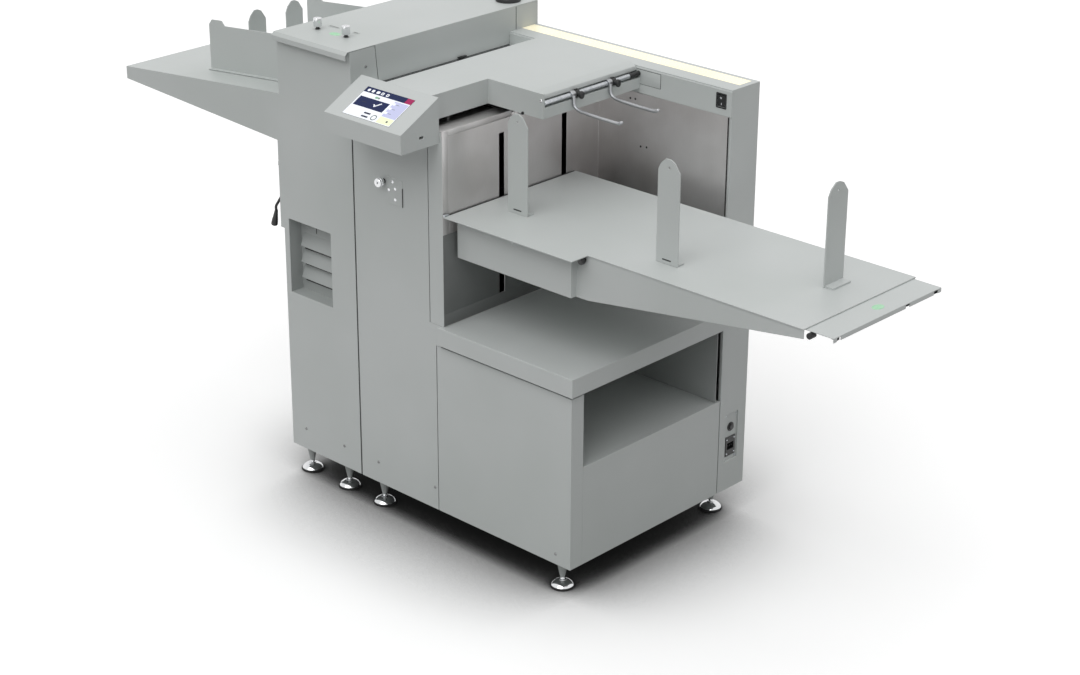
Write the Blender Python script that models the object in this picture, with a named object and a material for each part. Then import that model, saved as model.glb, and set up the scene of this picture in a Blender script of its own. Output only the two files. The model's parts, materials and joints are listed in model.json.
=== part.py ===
"""Floor-standing paper creasing machine: feed table, creasing tower and delivery table."""
import math

import bmesh
import bpy
from mathutils import Vector

# Fits and sheet sizes, in metres
gap = 0.0003
overrun = 0.004
sheet = 0.002
thick_sheet = 0.003
plate = 0.008
seam = 0.002

# Body
centre_width = 0.282
logo_width = 0.268
body_depth = 0.548
housing_depth = 0.103
floor_gap = 0.084
base_thickness = 0.010
cabinet_height = 0.447
wall_height = 0.980
wall_step = 0.027
housing_rise = 0.082
lid_rise = 0.1445
deck_rise = 0.048

# Storage bay and worktop
post_width = 0.042
bay_floor_height = 0.259
bay_depth = 0.400
bay_side_room = 0.017
bay_back_room = 0.016
worktop_lift = 0.0085
worktop_depth = 0.0475
worktop_reach = 0.011
worktop_under = 0.012
plinth_inset = 0.010
worktop_rib = 0.004

# Tower details
return_depth = 0.030
side_block_depth = 0.090
rear_block_depth = 0.079
vent_margin = 0.018
vent_width = 0.158
vent_rise = 0.437
vent_height = 0.200
vent_depth = 0.060
louvre_drop = 0.030
louvre_count = 3
corner_post_width = 0.048
corner_return = 0.020
slot_rise = 0.033
slot_top_margin = 0.034
exit_drop = 0.009
exit_height = 0.030
exit_margin = 0.050

# Rear housing
band_height = 0.067
band_split = 0.310
strip_width = 0.046
strip_setback = 0.045
strip_end = 0.016
strip_depth = 0.006
socket_setback = 0.024
socket_width = 0.049
socket_low = 0.080
socket_height = 0.130
socket_recess = 0.004
inlet_width = 0.037
inlet_height = 0.053
inlet_depth = 0.020
inlet_mouth_width = 0.025
inlet_mouth_height = 0.018
breaker_radius = 0.0085
rocker_width = 0.026
rocker_height = 0.032
rocker_depth = 0.010
rocker_margin = 0.018
rocker_drop = 0.015
rocker_lean = 0.004
rocker_play = 0.0016

# Lid
lid_lip_drop = 0.0215
lid_lip_reach = 0.016
lid_lip_slope = 0.008
lid_seam_slant = 0.0095
knob_collar_radius = 0.008
knob_collar_height = 0.006
knob_radius = 0.0105
knob_height = 0.022
knob_setback = 0.078
knob_first = 0.066
knob_pitch = 0.103
lock_radius = 0.032
lock_height = 0.014
lock_setback = 0.058
lock_inset = 0.050

# Console
console_left_gap = 0.040
console_width = 0.2616
console_reach = 0.1226
console_drop = 0.014
console_back_height = 0.111
console_front_height = 0.0475
console_wall = 0.0025
screen_width = 0.160
screen_length = 0.096
screen_top_margin = 0.028
screen_left_margin = 0.050
screen_depth = 0.003
port_width = 0.014
port_height = 0.006
port_setback = 0.057
port_rise = 0.024

# Air knob and its plate on the centre panel
air_knob_radius = 0.0115
air_stem_radius = 0.006
air_stem_length = 0.016
air_disc_depth = 0.006
air_knob_drop = 0.2015
air_knob_inset = 0.152
socket_plate_width = 0.0555
socket_plate_height = 0.067
socket_plate_side = 0.0095
socket_plate_drop = 0.052
socket_plate_depth = 0.001

# Feed head
channel_width = 0.106
head_width = 0.3354
neck_width = 0.1556
neck_front = 0.012
head_front = 0.2025
throat_height = 0.0273
bridge_depth = 0.0617
bridge_wall = 0.003
bridge_cheek = 0.006
chamfer_width = 0.035
chamfer_foot = 0.014
chamfer_drop = 0.0085
groove_depth = 0.030
groove_top = 0.016
groove_low = 0.0345
edge_solid = 0.036
rod_radius = 0.006
rod_inset = 0.004
rod_drop = 0.0245
collar_wall = 0.0032
collar_width = 0.014
collar_lug = 0.008
collar_knob_radius = 0.012
collar_knob_width = 0.010
finger_eye_wall = 0.003
finger_eye_width = 0.013
finger_radius = 0.0035
finger_front = 0.3116
finger_back_room = 0.107
finger_out = 0.0124
finger_drop = 0.0388
finger_elbow = 0.0464
finger_reach = 0.1674
finger_tip_rise = 0.0105
finger_tip = 0.021
finger_fall_shares = (0.25, 0.57, 0.96)

# Paper path and its rollers
path_rise = 0.004
nip = 0.0008
infeed_back = 0.118
lower_roller_radius = 0.020
upper_roller_radius = 0.014
journal_radius = 0.006
exit_inset = 0.049
drum_radius = 0.026
drum_front = 0.018
drum_inset = 0.040
chamber_width = 0.060
cheek_thickness = 0.006

# Side frames
frame_front = 0.095
frame_back_room = 0.016
frame_low_inset = 0.008
frame_hump_front = 0.020
frame_hump_back = 0.020
frame_hump_height = 0.030
frame_top_drop = 0.0335
tie_radius = 0.010
tie_rise = 0.200

# Creasing unit
crease_inset = 0.134
matrix_width = 0.050
matrix_depth = 0.026
groove_width = 0.003
groove_sink = 0.002
blade_width = 0.024
blade_beam_height = 0.045
blade_edge = 0.002
blade_edge_height = 0.006
blade_rest = 0.011
blade_stroke = 0.010
cam_base_radius = 0.014
cam_clearance = 0.0008
cam_width = 0.016
cam_end_inset = 0.060

# Drive
belt_gap_behind = 0.012
belt_width = 0.014
belt_thickness = 0.0025
pulley_radius = 0.020
motor_size = 0.080

# Table lift
lift_inset = 0.053
lift_rod_radius = 0.012
lift_screw_radius = 0.009
lift_rod_inset = 0.035
carriage_width = 0.060
carriage_front_room = 0.062
carriage_back_room = 0.077
carriage_height = 0.060
carriage_drop = 0.080
arm_thickness = 0.012
slot_side = 0.003
lift_motor_height = 0.080
lift_motor_size = 0.060
lift_plate_drop = 0.029
lift_plate_thickness = 0.008

# Power and vacuum unit
blower_radius = 0.090
blower_length = 0.160
blower_inset = 0.120
supply_width = 0.150
supply_height = 0.110
unit_front = 0.090
unit_space = 0.060
unit_back_room = 0.038
unit_tray = 0.006
unit_right = 0.050

# Feed table
table_height = 0.786
table_left_gap = 0.002
table_length = 1.015
table_front = 0.054
table_back_room = 0.089
flap_right = 0.0054
gusset_root_depth = 0.112
gusset_tip_depth = 0.020
gusset_root_inset = 0.004
box_setback = 0.0095
box_right = 0.040
box_front = 0.037
box_height = 0.106
extension_tuck = 0.150
extension_reach = 0.071
extension_inset = 0.010
extension_flange = 0.011
flange_notch = 0.014

# Upright guides
upright_width = 0.0635
upright_height = 0.246
upright_shoulder = 0.028
upright_foot = 0.026
upright_foot_height = 0.004
upright_hole_radius = 0.003
upright_hole_drop = 0.020
upright_line = 0.135
guide_top_shares = ((1, 1), (0.75, 0.2), (0.55, 0), (0.35, 0), (0.12, 0.45), (0, 1))
first_upright_setback = 0.081
second_upright_setback = 0.541
end_stop_inset = 0.109
end_stop_front = 0.266
end_stop_width = 0.069
end_stop_height = 0.236

# Delivery
bracket_depth = 0.015
bracket_length = 0.356
bracket_top_drop = 0.019
delivery_length = 0.613
delivery_front = 0.003
delivery_back_room = 0.093
delivery_fall = 0.059
delivery_root_depth = 0.124
delivery_tip_depth = 0.034
guide_front = 0.0945
guide_back_margin = 0.023
guide_start = 0.010
guide_length = 0.357
guide_height = 0.121
guide_tab_width = 0.063
guide_tab_rise = 0.018
guide_tab_round = 0.012
guide_foot = 0.012
stop_distance = 0.324
stop_front_room = 0.0965
stop_back_room = 0.055
stop_width = 0.058
stop_height = 0.138
stop_bar = 0.012

# Hanging lead with its gland and connector
gland_front = 0.010
gland_width = 0.014
gland_drop = 0.203
gland_height = 0.051
lead_radius = 0.0035
lead_length = 0.089
lead_swing = 0.026
lead_end = 0.012
connector_width = 0.030
connector_depth = 0.018
connector_height = 0.045

# Feet
foot_radius = 0.030
foot_rim = 0.004
foot_dome = 0.014
stem_radius = 0.006
socket_top_radius = 0.019
socket_low_radius = 0.006
socket_drop = 0.058
foot_setback = 0.045
left_foot_inset = 0.022
second_foot_inset = 0.169
third_foot_inset = 0.035
right_foot_inset = 0.065

# Places worked out from the sizes above
wall_x = -bay_depth - bay_side_room
seam_x = wall_x - wall_step
mid_x = seam_x - centre_width
left_x = mid_x - logo_width
back_y = body_depth + housing_depth
base_z = floor_gap
deck_base_z = base_z + base_thickness
cabinet_z = base_z + cabinet_height
worktop_z = cabinet_z + worktop_lift + worktop_depth
worktop_left = wall_x - worktop_under
post_left = wall_x - corner_post_width
wall_z = base_z + wall_height
path_z = wall_z + path_rise
housing_z = wall_z + housing_rise
lid_z = wall_z + lid_rise
deck_z = wall_z + deck_rise
bridge_left = mid_x + channel_width
bridge_right = bridge_left + head_width
bridge_low = wall_z + throat_height
bridge_top = bridge_low + bridge_depth
table_left = wall_x + table_left_gap
table_right = table_left + table_length
table_z = base_z + table_height
table_depth = body_depth - table_front - table_back_room
bracket_left = left_x - gap - bracket_depth
delivery_left = bracket_left - delivery_length
delivery_depth = body_depth - delivery_front - delivery_back_room
delivery_top = wall_z - bracket_top_drop
extension_right = table_right + extension_reach
centre_x = (delivery_left + extension_right) / 2
centre_y = (back_y - console_reach) / 2
frame_rear = body_depth - frame_back_room
roller_low = frame_front + plate + gap
roller_high = frame_rear - gap
carriage_front = frame_front + plate + carriage_front_room
carriage_back = frame_rear - carriage_back_room
lift_rods = (carriage_front + lift_rod_inset, carriage_back - lift_rod_inset)
lift_centre = (carriage_front + carriage_back) / 2

for item in list(bpy.data.objects):
    bpy.data.objects.remove(item, do_unlink=True)

datum = bpy.data.objects.new("datum", None)
bpy.context.collection.objects.link(datum)
datum.location = (-centre_x, -centre_y, 0)


def finish(name, colour, roughness, metallic):
    material = bpy.data.materials.new(name)
    material.use_nodes = True
    shader = material.node_tree.nodes["Principled BSDF"]
    shader.inputs["Base Color"].default_value = (*colour, 1)
    shader.inputs["Roughness"].default_value = roughness
    shader.inputs["Metallic"].default_value = metallic
    return material


light_grey = (0.38, 0.41, 0.40)
dark_grey = (0.10, 0.10, 0.11)
steel_grey = (0.55, 0.55, 0.55)
near_black = (0.02, 0.02, 0.02)


# Solid shapes, each of which adds one closed body to a mesh
def block(low, high):
    def add(bm):
        made = bmesh.ops.create_cube(bm, size=1)["verts"]
        for vert in made:
            for i in range(3):
                vert.co[i] = (low[i] + high[i]) / 2 + vert.co[i] * (high[i] - low[i])
    return add


def prism(axis, outline, low, high):
    others = [i for i in range(3) if i != axis]

    def add(bm):
        verts = []
        for a, b in outline:
            point = Vector((0, 0, 0))
            point[others[0]], point[others[1]], point[axis] = a, b, low
            verts.append(bm.verts.new(point))
        face = bm.faces.new(verts)
        grown = bmesh.ops.extrude_face_region(bm, geom=[face])["geom"]
        for vert in [g for g in grown if isinstance(g, bmesh.types.BMVert)]:
            vert.co[axis] = high
    return add


def turned(axis, centre, profile, sides=20):
    along = Vector((0, 0, 0))
    along[axis] = 1
    across = Vector((0, 0, 0))
    across[(axis + 1) % 3] = 1

    def add(bm):
        verts = [bm.verts.new(Vector(centre) + across * r + along * h) for r, h in profile]
        edges = [bm.edges.new(pair) for pair in zip(verts, verts[1:])]
        bmesh.ops.spin(bm, geom=verts + edges, cent=centre, axis=along, dvec=(0, 0, 0),
                       angle=math.tau, steps=sides, use_merge=True, use_duplicate=False)
        bmesh.ops.remove_doubles(bm, verts=bm.verts, dist=gap / 10)
        bmesh.ops.dissolve_degenerate(bm, edges=bm.edges, dist=gap / 10)
    return add


def cylinder(axis, centre, radius, low, high, sides=20):
    return turned(axis, centre, [(0, low), (radius, low), (radius, high), (0, high)], sides)


def mesh_of(name, shape, pivot):
    bm = bmesh.new()
    shape(bm)
    bmesh.ops.recalc_face_normals(bm, faces=bm.faces)
    bmesh.ops.translate(bm, verts=bm.verts, vec=-Vector(pivot))
    mesh = bpy.data.meshes.new(name)
    bm.to_mesh(mesh)
    bm.free()
    return mesh


def node(name, material, shape, pivot=(0, 0, 0), smooth=False):
    mesh = mesh_of(name, shape, pivot)
    mesh.materials.append(material)
    if smooth:
        mesh.shade_smooth()
        mesh.set_sharp_from_angle(angle=math.radians(35))
    thing = bpy.data.objects.new(name, mesh)
    bpy.context.collection.objects.link(thing)
    thing.parent = datum
    thing.location = pivot
    return thing


def shape_with(thing, operation, shapes):
    for shape in shapes:
        tool = bpy.data.objects.new(thing.name + "_tool", mesh_of("tool", shape, (0, 0, 0)))
        bpy.context.collection.objects.link(tool)
        tool.parent = datum
        tool.hide_render = True
        tool.display_type = "WIRE"
        change = thing.modifiers.new(operation.lower(), "BOOLEAN")
        change.operation = operation
        change.solver = "EXACT"
        change.object = tool


def cut(thing, *shapes):
    shape_with(thing, "DIFFERENCE", shapes)


def weld(thing, *shapes):
    shape_with(thing, "UNION", shapes)


def paint(name):
    return finish(name + "_paint", light_grey, 0.45, 0.0)


def metal(name):
    return finish(name + "_metal", steel_grey, 0.3, 1.0)


def black(name):
    return finish(name + "_black", near_black, 0.5, 0.0)


# Base plate with a socket cone for each foot
foot_places = {
    "foot_front_left": (left_x + left_foot_inset, foot_setback),
    "foot_front_second": (left_x + second_foot_inset, foot_setback),
    "foot_front_third": (mid_x + third_foot_inset, foot_setback),
    "foot_front_right": (-right_foot_inset, foot_setback),
    "foot_rear_left": (left_x + left_foot_inset, back_y - foot_setback),
    "foot_rear_right": (-right_foot_inset, back_y - foot_setback),
}


def base():
    floor = node("base_plate", paint("base"),
                 block((left_x + sheet + gap, sheet + gap, base_z),
                       (-sheet - gap, back_y - sheet - gap, deck_base_z)))
    low = base_z - socket_drop
    high = base_z + base_thickness / 2
    weld(floor, *[turned(2, (x, y, 0), [(0, low), (socket_low_radius, low), (socket_top_radius, high),
                                        (0, high)], 16) for x, y in foot_places.values()])
    cut(floor, block((mid_x - sheet - gap, 0, base_z - overrun),
                     (mid_x + gap, side_block_depth + gap, deck_base_z + overrun)),
        block((mid_x - sheet - gap, back_y - rear_block_depth - gap, base_z - overrun),
              (mid_x + gap, back_y, deck_base_z + overrun)),
        block((-socket_recess * 2 - gap, body_depth, base_z - overrun),
              (0, back_y, deck_base_z + overrun)))
    dome = foot_rim + foot_dome
    stem_top = low - gap
    profile = [(0, 0), (foot_radius, 0), (foot_radius, foot_rim),
               (foot_radius * 0.8, foot_rim + foot_dome * 0.55), (stem_radius * 2, dome),
               (stem_radius, dome), (stem_radius, stem_top), (0, stem_top)]
    for name, (x, y) in foot_places.items():
        node(name, metal(name), turned(2, (x, y, 0), profile, 20), smooth=True)


# Cabinet with its storage bay and worktop
def cabinet():
    front = [(seam_x + seam / 2, 0), (0, 0), (0, post_width), (-sheet, post_width),
             (-sheet, sheet), (seam_x + seam / 2, sheet)]
    node("cabinet_front", paint("cabinet_front"), prism(2, front, base_z, cabinet_z))
    bay_z = base_z + bay_floor_height
    side = [(-sheet, base_z), (0, base_z), (0, bay_z), (-bay_depth, bay_z),
            (-bay_depth, bay_z - sheet), (-sheet, bay_z - sheet)]
    node("cabinet_side", paint("cabinet_side"),
         prism(1, side, post_width + gap, body_depth - gap - seam))
    top_z = cabinet_z + worktop_lift - gap
    front_y = sheet + gap
    back = body_depth - bay_back_room
    far = -bay_depth - sheet
    liner = node("compartment_liner", paint("liner"),
                 block((far, front_y, bay_z + gap), (-sheet - gap, back, top_z)))
    cut(liner, block((-bay_depth, post_width, bay_z - overrun), (overrun, back - sheet, cabinet_z)),
        block((-bay_depth, front_y + sheet, bay_z - overrun),
              (-sheet * 2 - gap, post_width - sheet, cabinet_z - sheet)),
        block((-plinth_inset, -overrun, cabinet_z), (overrun, body_depth, top_z + overrun)),
        block((far - overrun, -overrun, cabinet_z), (overrun, plinth_inset, top_z + overrun)),
        block((-bay_depth, post_width, cabinet_z - overrun),
              (-plinth_inset - sheet, back - sheet, top_z - sheet)))
    front_lip = -worktop_reach
    worktop = node("worktop", paint("worktop"),
                   block((worktop_left, front_lip, cabinet_z + worktop_lift),
                         (worktop_reach, body_depth - seam, worktop_z)))
    pockets = 3
    inner_left = worktop_left + worktop_rib
    inner_right = worktop_reach - worktop_rib
    step = (inner_right - inner_left + worktop_rib) / pockets
    cut(worktop, *[block((inner_left + step * i, front_lip + worktop_rib, cabinet_z),
                         (inner_left + step * (i + 1) - worktop_rib, body_depth - seam - worktop_rib,
                          worktop_z - thick_sheet)) for i in range(pockets)])


# Tower panels
def tower():
    panel_top = lid_z - sheet - gap * 3
    front = [(left_x, 0), (mid_x, 0), (mid_x, side_block_depth), (mid_x - sheet, side_block_depth),
             (mid_x - sheet, sheet), (left_x + sheet, sheet), (left_x + sheet, return_depth),
             (left_x, return_depth)]
    bare = node("tower_left_front", paint("left_front"), prism(2, front, base_z, panel_top))
    vent_left = left_x + vent_margin
    vent_right = vent_left + vent_width
    vent_low = base_z + vent_rise
    vent_top = vent_low + vent_height
    cut(bare, block((vent_left, -overrun, vent_low), (vent_right, sheet + overrun, vent_top)),
        prism(0, [(side_block_depth, deck_z), (side_block_depth + overrun, deck_z),
                  (side_block_depth + overrun, panel_top + overrun),
                  (side_block_depth - lid_seam_slant, panel_top + overrun)],
              mid_x - sheet - overrun, mid_x + overrun))
    pan = node("vent_louvres", paint("vent"),
               block((vent_left - sheet, sheet + gap, vent_low - sheet),
                     (vent_right + sheet, vent_depth, vent_top + sheet)))
    cut(pan, block((vent_left, -overrun, vent_low), (vent_right, vent_depth - sheet, vent_top)))
    pitch = vent_height / (louvre_count + 1)
    inner = vent_depth - sheet / 2
    near = inner - louvre_drop
    for i in range(louvre_count):
        z = vent_low + pitch * (i + 0.45)
        weld(pan, prism(0, [(near, z), (near, z + sheet), (inner, z + louvre_drop + sheet),
                            (inner, z + louvre_drop)], vent_left - sheet / 2, vent_right + sheet / 2))
    centre_left = mid_x + seam
    step_z = worktop_z + gap
    outline = [(centre_left, base_z), (seam_x - seam / 2, base_z), (seam_x - seam / 2, cabinet_z + gap),
               (worktop_left - gap, cabinet_z + gap), (worktop_left - gap, step_z - gap),
               (post_left - seam / 2, step_z - gap), (post_left - seam / 2, deck_z),
               (centre_left, deck_z)]
    centre = node("tower_centre_front", paint("centre_front"), prism(1, outline, 0, sheet))
    plate_left = post_left - air_knob_inset + socket_plate_side
    plate_low = deck_z - air_knob_drop - socket_plate_drop
    weld(centre, block((mid_x + gap, sheet / 2, deck_z - sheet),
                       (bridge_left, body_depth - sheet - gap, deck_z)),
         block((plate_left, -socket_plate_depth, plate_low),
               (plate_left + socket_plate_width, sheet / 2, plate_low + socket_plate_height)))
    post = [(post_left + seam / 2, 0), (wall_x, 0), (wall_x, corner_return),
            (wall_x - sheet, corner_return), (wall_x - sheet, sheet), (post_left + seam / 2, sheet)]
    node("tower_corner_post", paint("corner_post"), prism(2, post, step_z, wall_z))


# Stainless feed wall with the lift slots, bent into the guide plate behind the table
def stainless():
    plate_y = body_depth - sheet - gap
    wall = node("stainless_guides", metal("guide"),
                block((wall_x - sheet, corner_return + gap, worktop_z + gap),
                      (wall_x, plate_y + sheet, wall_z)))
    weld(wall, block((wall_x - sheet, plate_y, worktop_z + gap),
                     (-socket_recess * 2, plate_y + sheet, housing_z - band_height - gap)))
    for y in lift_rods:
        half = arm_thickness / 2 + slot_side
        cut(wall, block((wall_x - sheet - overrun, y - half, worktop_z + slot_rise),
                        (wall_x + overrun, y + half, wall_z - slot_top_margin)))


# Left side and back of the tower, with the paper exit
def back_cover():
    back = [(left_x, return_depth + gap), (left_x, back_y), (mid_x, back_y),
            (mid_x, back_y - rear_block_depth), (mid_x - sheet, back_y - rear_block_depth),
            (mid_x - sheet, back_y - sheet), (left_x + sheet, back_y - sheet),
            (left_x + sheet, return_depth + gap)]
    cover = node("tower_back_cover", paint("back_cover"),
                 prism(2, back, base_z, lid_z - sheet - gap))
    cut(cover, block((left_x - overrun, exit_margin, path_z - exit_drop),
                     (left_x + sheet * 2, body_depth - exit_margin, path_z - exit_drop + exit_height)))


# Rear housing, its light strip and sockets
def housing():
    left = mid_x + gap
    wall = socket_recess * 2
    cover = node("rear_housing_cover", paint("housing"),
                 block((left, body_depth + gap, base_z), (0, back_y, housing_z)))
    strip_low = body_depth + strip_setback
    strip_high = strip_low + strip_width
    socket_y = body_depth + socket_setback
    socket_z = base_z + socket_low
    rocker_x = -rocker_margin - rocker_width
    rocker_z = housing_z - rocker_drop - rocker_height
    band_y = body_depth - sheet - gap
    band_z = housing_z - band_height
    cut(cover, block((left - overrun, body_depth - overrun, base_z - overrun),
                     (-wall, back_y - sheet, housing_z - strip_depth * 2)))
    weld(cover, block((left, band_y, band_z), (-band_split, body_depth + overrun, housing_z - overrun)),
         block((-band_split + seam, band_y, band_z), (0, body_depth + overrun, housing_z - overrun)))
    cut(cover,
        block((left - overrun, strip_low, housing_z - strip_depth),
              (-strip_end, strip_high, housing_z + overrun)),
        block((-socket_recess, socket_y, socket_z),
              (overrun, socket_y + socket_width, socket_z + socket_height)))
    mid_y = socket_y + socket_width / 2
    inlet_z = socket_z + inlet_height / 2 + socket_recess * 3
    breaker_z = inlet_z + inlet_height
    half_w = inlet_mouth_width / 2
    half_h = inlet_mouth_height / 2
    cut(cover,
        block((-wall - overrun, mid_y - inlet_width / 2 + sheet, inlet_z - inlet_height / 2 + sheet),
              (overrun, mid_y + inlet_width / 2 - sheet, inlet_z + inlet_height / 2 - sheet)),
        cylinder(0, (0, mid_y, breaker_z), breaker_radius, -wall - overrun, overrun, 16),
        block((rocker_x, band_y - overrun, rocker_z),
              (rocker_x + rocker_width, body_depth + rocker_depth, rocker_z + rocker_height)))
    node("light_diffuser", finish("diffuser", (0.9, 0.88, 0.78), 0.4, 0.0),
         block((left, strip_low + gap, housing_z - strip_depth + gap),
               (-strip_end - gap, strip_high - gap, housing_z)))
    face_x = -socket_recess + gap
    inlet = node("mains_inlet", black("inlet"),
                 block((face_x, mid_y - inlet_width / 2, inlet_z - inlet_height / 2),
                       (face_x + sheet, mid_y + inlet_width / 2, inlet_z + inlet_height / 2)))
    weld(inlet, block((-inlet_depth, mid_y - inlet_width / 2 + sheet + gap,
                       inlet_z - inlet_height / 2 + sheet + gap),
                      (face_x + sheet / 2, mid_y + inlet_width / 2 - sheet - gap,
                       inlet_z + inlet_height / 2 - sheet - gap)))
    cut(inlet, block((-inlet_depth + sheet, mid_y - half_w, inlet_z - half_h),
                     (overrun, mid_y + half_w, inlet_z + half_h)))
    for shift in (-1, 0, 1):
        pin_y = mid_y + shift * half_w * 0.55
        weld(inlet, block((-inlet_depth + sheet / 2, pin_y - sheet / 2, inlet_z - sheet),
                          (-socket_recess, pin_y + sheet / 2, inlet_z + sheet)))
    node("breaker_button", black("breaker"),
         cylinder(0, (0, mid_y, breaker_z), breaker_radius - gap, -wall, sheet, 16),
         pivot=(-socket_recess, mid_y, breaker_z))
    mid_z = rocker_z + rocker_height / 2
    half = rocker_height / 2 - rocker_play
    deep = body_depth + rocker_lean
    flush = band_y
    node("power_rocker", black("rocker"),
         prism(0, [(flush, mid_z), (flush - rocker_lean, mid_z + half), (body_depth, mid_z + half),
                   (deep, mid_z), (body_depth, mid_z - half), (flush, mid_z - half)],
               rocker_x + gap, rocker_x + rocker_width - gap),
         pivot=(rocker_x + rocker_width / 2, body_depth, mid_z))


# Lid over the creasing unit, with its knobs
def lid():
    top = lid_z
    front = -lid_lip_reach
    lip = top - lid_lip_drop + gap * 2
    pivot = (mid_x - logo_width / 2, back_y, top - sheet)
    skin = [(front, lip), (front, top - lid_lip_slope), (front + lid_lip_slope, top), (back_y, top),
            (back_y, top - sheet), (front + lid_lip_slope + sheet / 2, top - sheet),
            (front + sheet, top - lid_lip_slope - sheet / 2), (front + sheet, lip)]
    cover = node("lid", paint("lid"), prism(0, skin, left_x, mid_x), pivot=pivot)
    low_y = side_block_depth + gap * 6
    high_y = back_y - rear_block_depth - gap * 3
    right_low = deck_z + gap * 3
    lock = (mid_x - lock_inset, back_y - lock_setback, 0)
    weld(cover, prism(0, [(low_y, right_low), (high_y, right_low), (high_y, top - sheet / 2),
                          (low_y - lid_seam_slant, top - sheet / 2)], mid_x - sheet, mid_x),
         turned(2, lock, [(0, top - sheet / 2), (lock_radius, top - sheet / 2),
                          (lock_radius, top + lock_height * 0.6), (lock_radius * 0.8, top + lock_height),
                          (0, top + lock_height)], 20))
    names = ("lid_knob_left", "lid_knob_right")
    for i, name in enumerate(names):
        centre = (left_x + knob_first + knob_pitch * i, knob_setback, 0)
        rise = top + gap
        profile = [(0, rise), (knob_collar_radius, rise), (knob_collar_radius, rise + knob_collar_height),
                   (knob_radius, rise + knob_collar_height), (knob_radius, rise + knob_collar_height
                                                              + knob_height - sheet / 2),
                   (knob_radius - sheet / 2, rise + knob_collar_height + knob_height),
                   (0, rise + knob_collar_height + knob_height)]
        node(name, metal(name), turned(2, centre, profile, 20),
             pivot=(centre[0], centre[1], top), smooth=True)


# Console with its screen
def console():
    left = mid_x + console_left_gap
    right = left + console_width
    low = wall_z - console_drop
    back = -gap
    front = -console_reach
    top = low + console_back_height
    front_top = low + console_front_height
    wall = console_wall
    run = Vector((front - back, front_top - top)).normalized()
    down = Vector((-run.y, run.x))

    def roof(y):
        return top + (y - back) * run.y / run.x

    body = node("console_housing", paint("console"),
                prism(0, [(back, low), (back, top), (front, front_top), (front, low)], left, right))
    sunk = wall / abs(down.y)
    cut(body, prism(0, [(back + overrun, low + wall), (back + overrun, roof(back + overrun) - sunk),
                        (front + wall, roof(front + wall) - sunk), (front + wall, low + wall)],
                    left + wall, right - wall))
    start = Vector((back, top)) + run * screen_top_margin
    end = start + run * screen_length

    def slab(depth, height, grow):
        a = start - run * grow
        b = end + run * grow
        return [tuple(a + down * depth), tuple(b + down * depth), tuple(b - down * height),
                tuple(a - down * height)]

    screen_left = left + screen_left_margin
    screen_right = screen_left + screen_width
    cut(body, prism(0, slab(screen_depth / 2, overrun, gap), screen_left - gap, screen_right + gap),
        prism(0, slab(screen_depth * 2, overrun, -wall), screen_left + wall, screen_right - wall),
        block((right - wall - overrun, -port_setback - port_width / 2, low + port_rise),
              (right + overrun, -port_setback + port_width / 2, low + port_rise + port_height)))
    node("touch_screen", finish("screen_glass", (0.05, 0.06, 0.09), 0.1, 0.0),
         prism(0, slab(screen_depth / 2 - gap, 0, 0), screen_left, screen_right))


# Air knob on the centre panel
def air_knob():
    pivot = (post_left - air_knob_inset, 0, deck_z - air_knob_drop)
    tip = -air_stem_length - air_disc_depth
    profile = [(0, tip), (air_knob_radius, tip), (air_knob_radius, -air_stem_length),
               (air_stem_radius, -air_stem_length), (air_stem_radius, -gap), (0, -gap)]
    node("air_knob", metal("air_knob"), turned(1, pivot, profile, 16), pivot=pivot, smooth=True)


drum_x = wall_x + drum_front
drum_z = path_z + drum_radius
drum_low = head_front + bridge_wall + drum_inset
drum_high = body_depth - drum_inset


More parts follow.
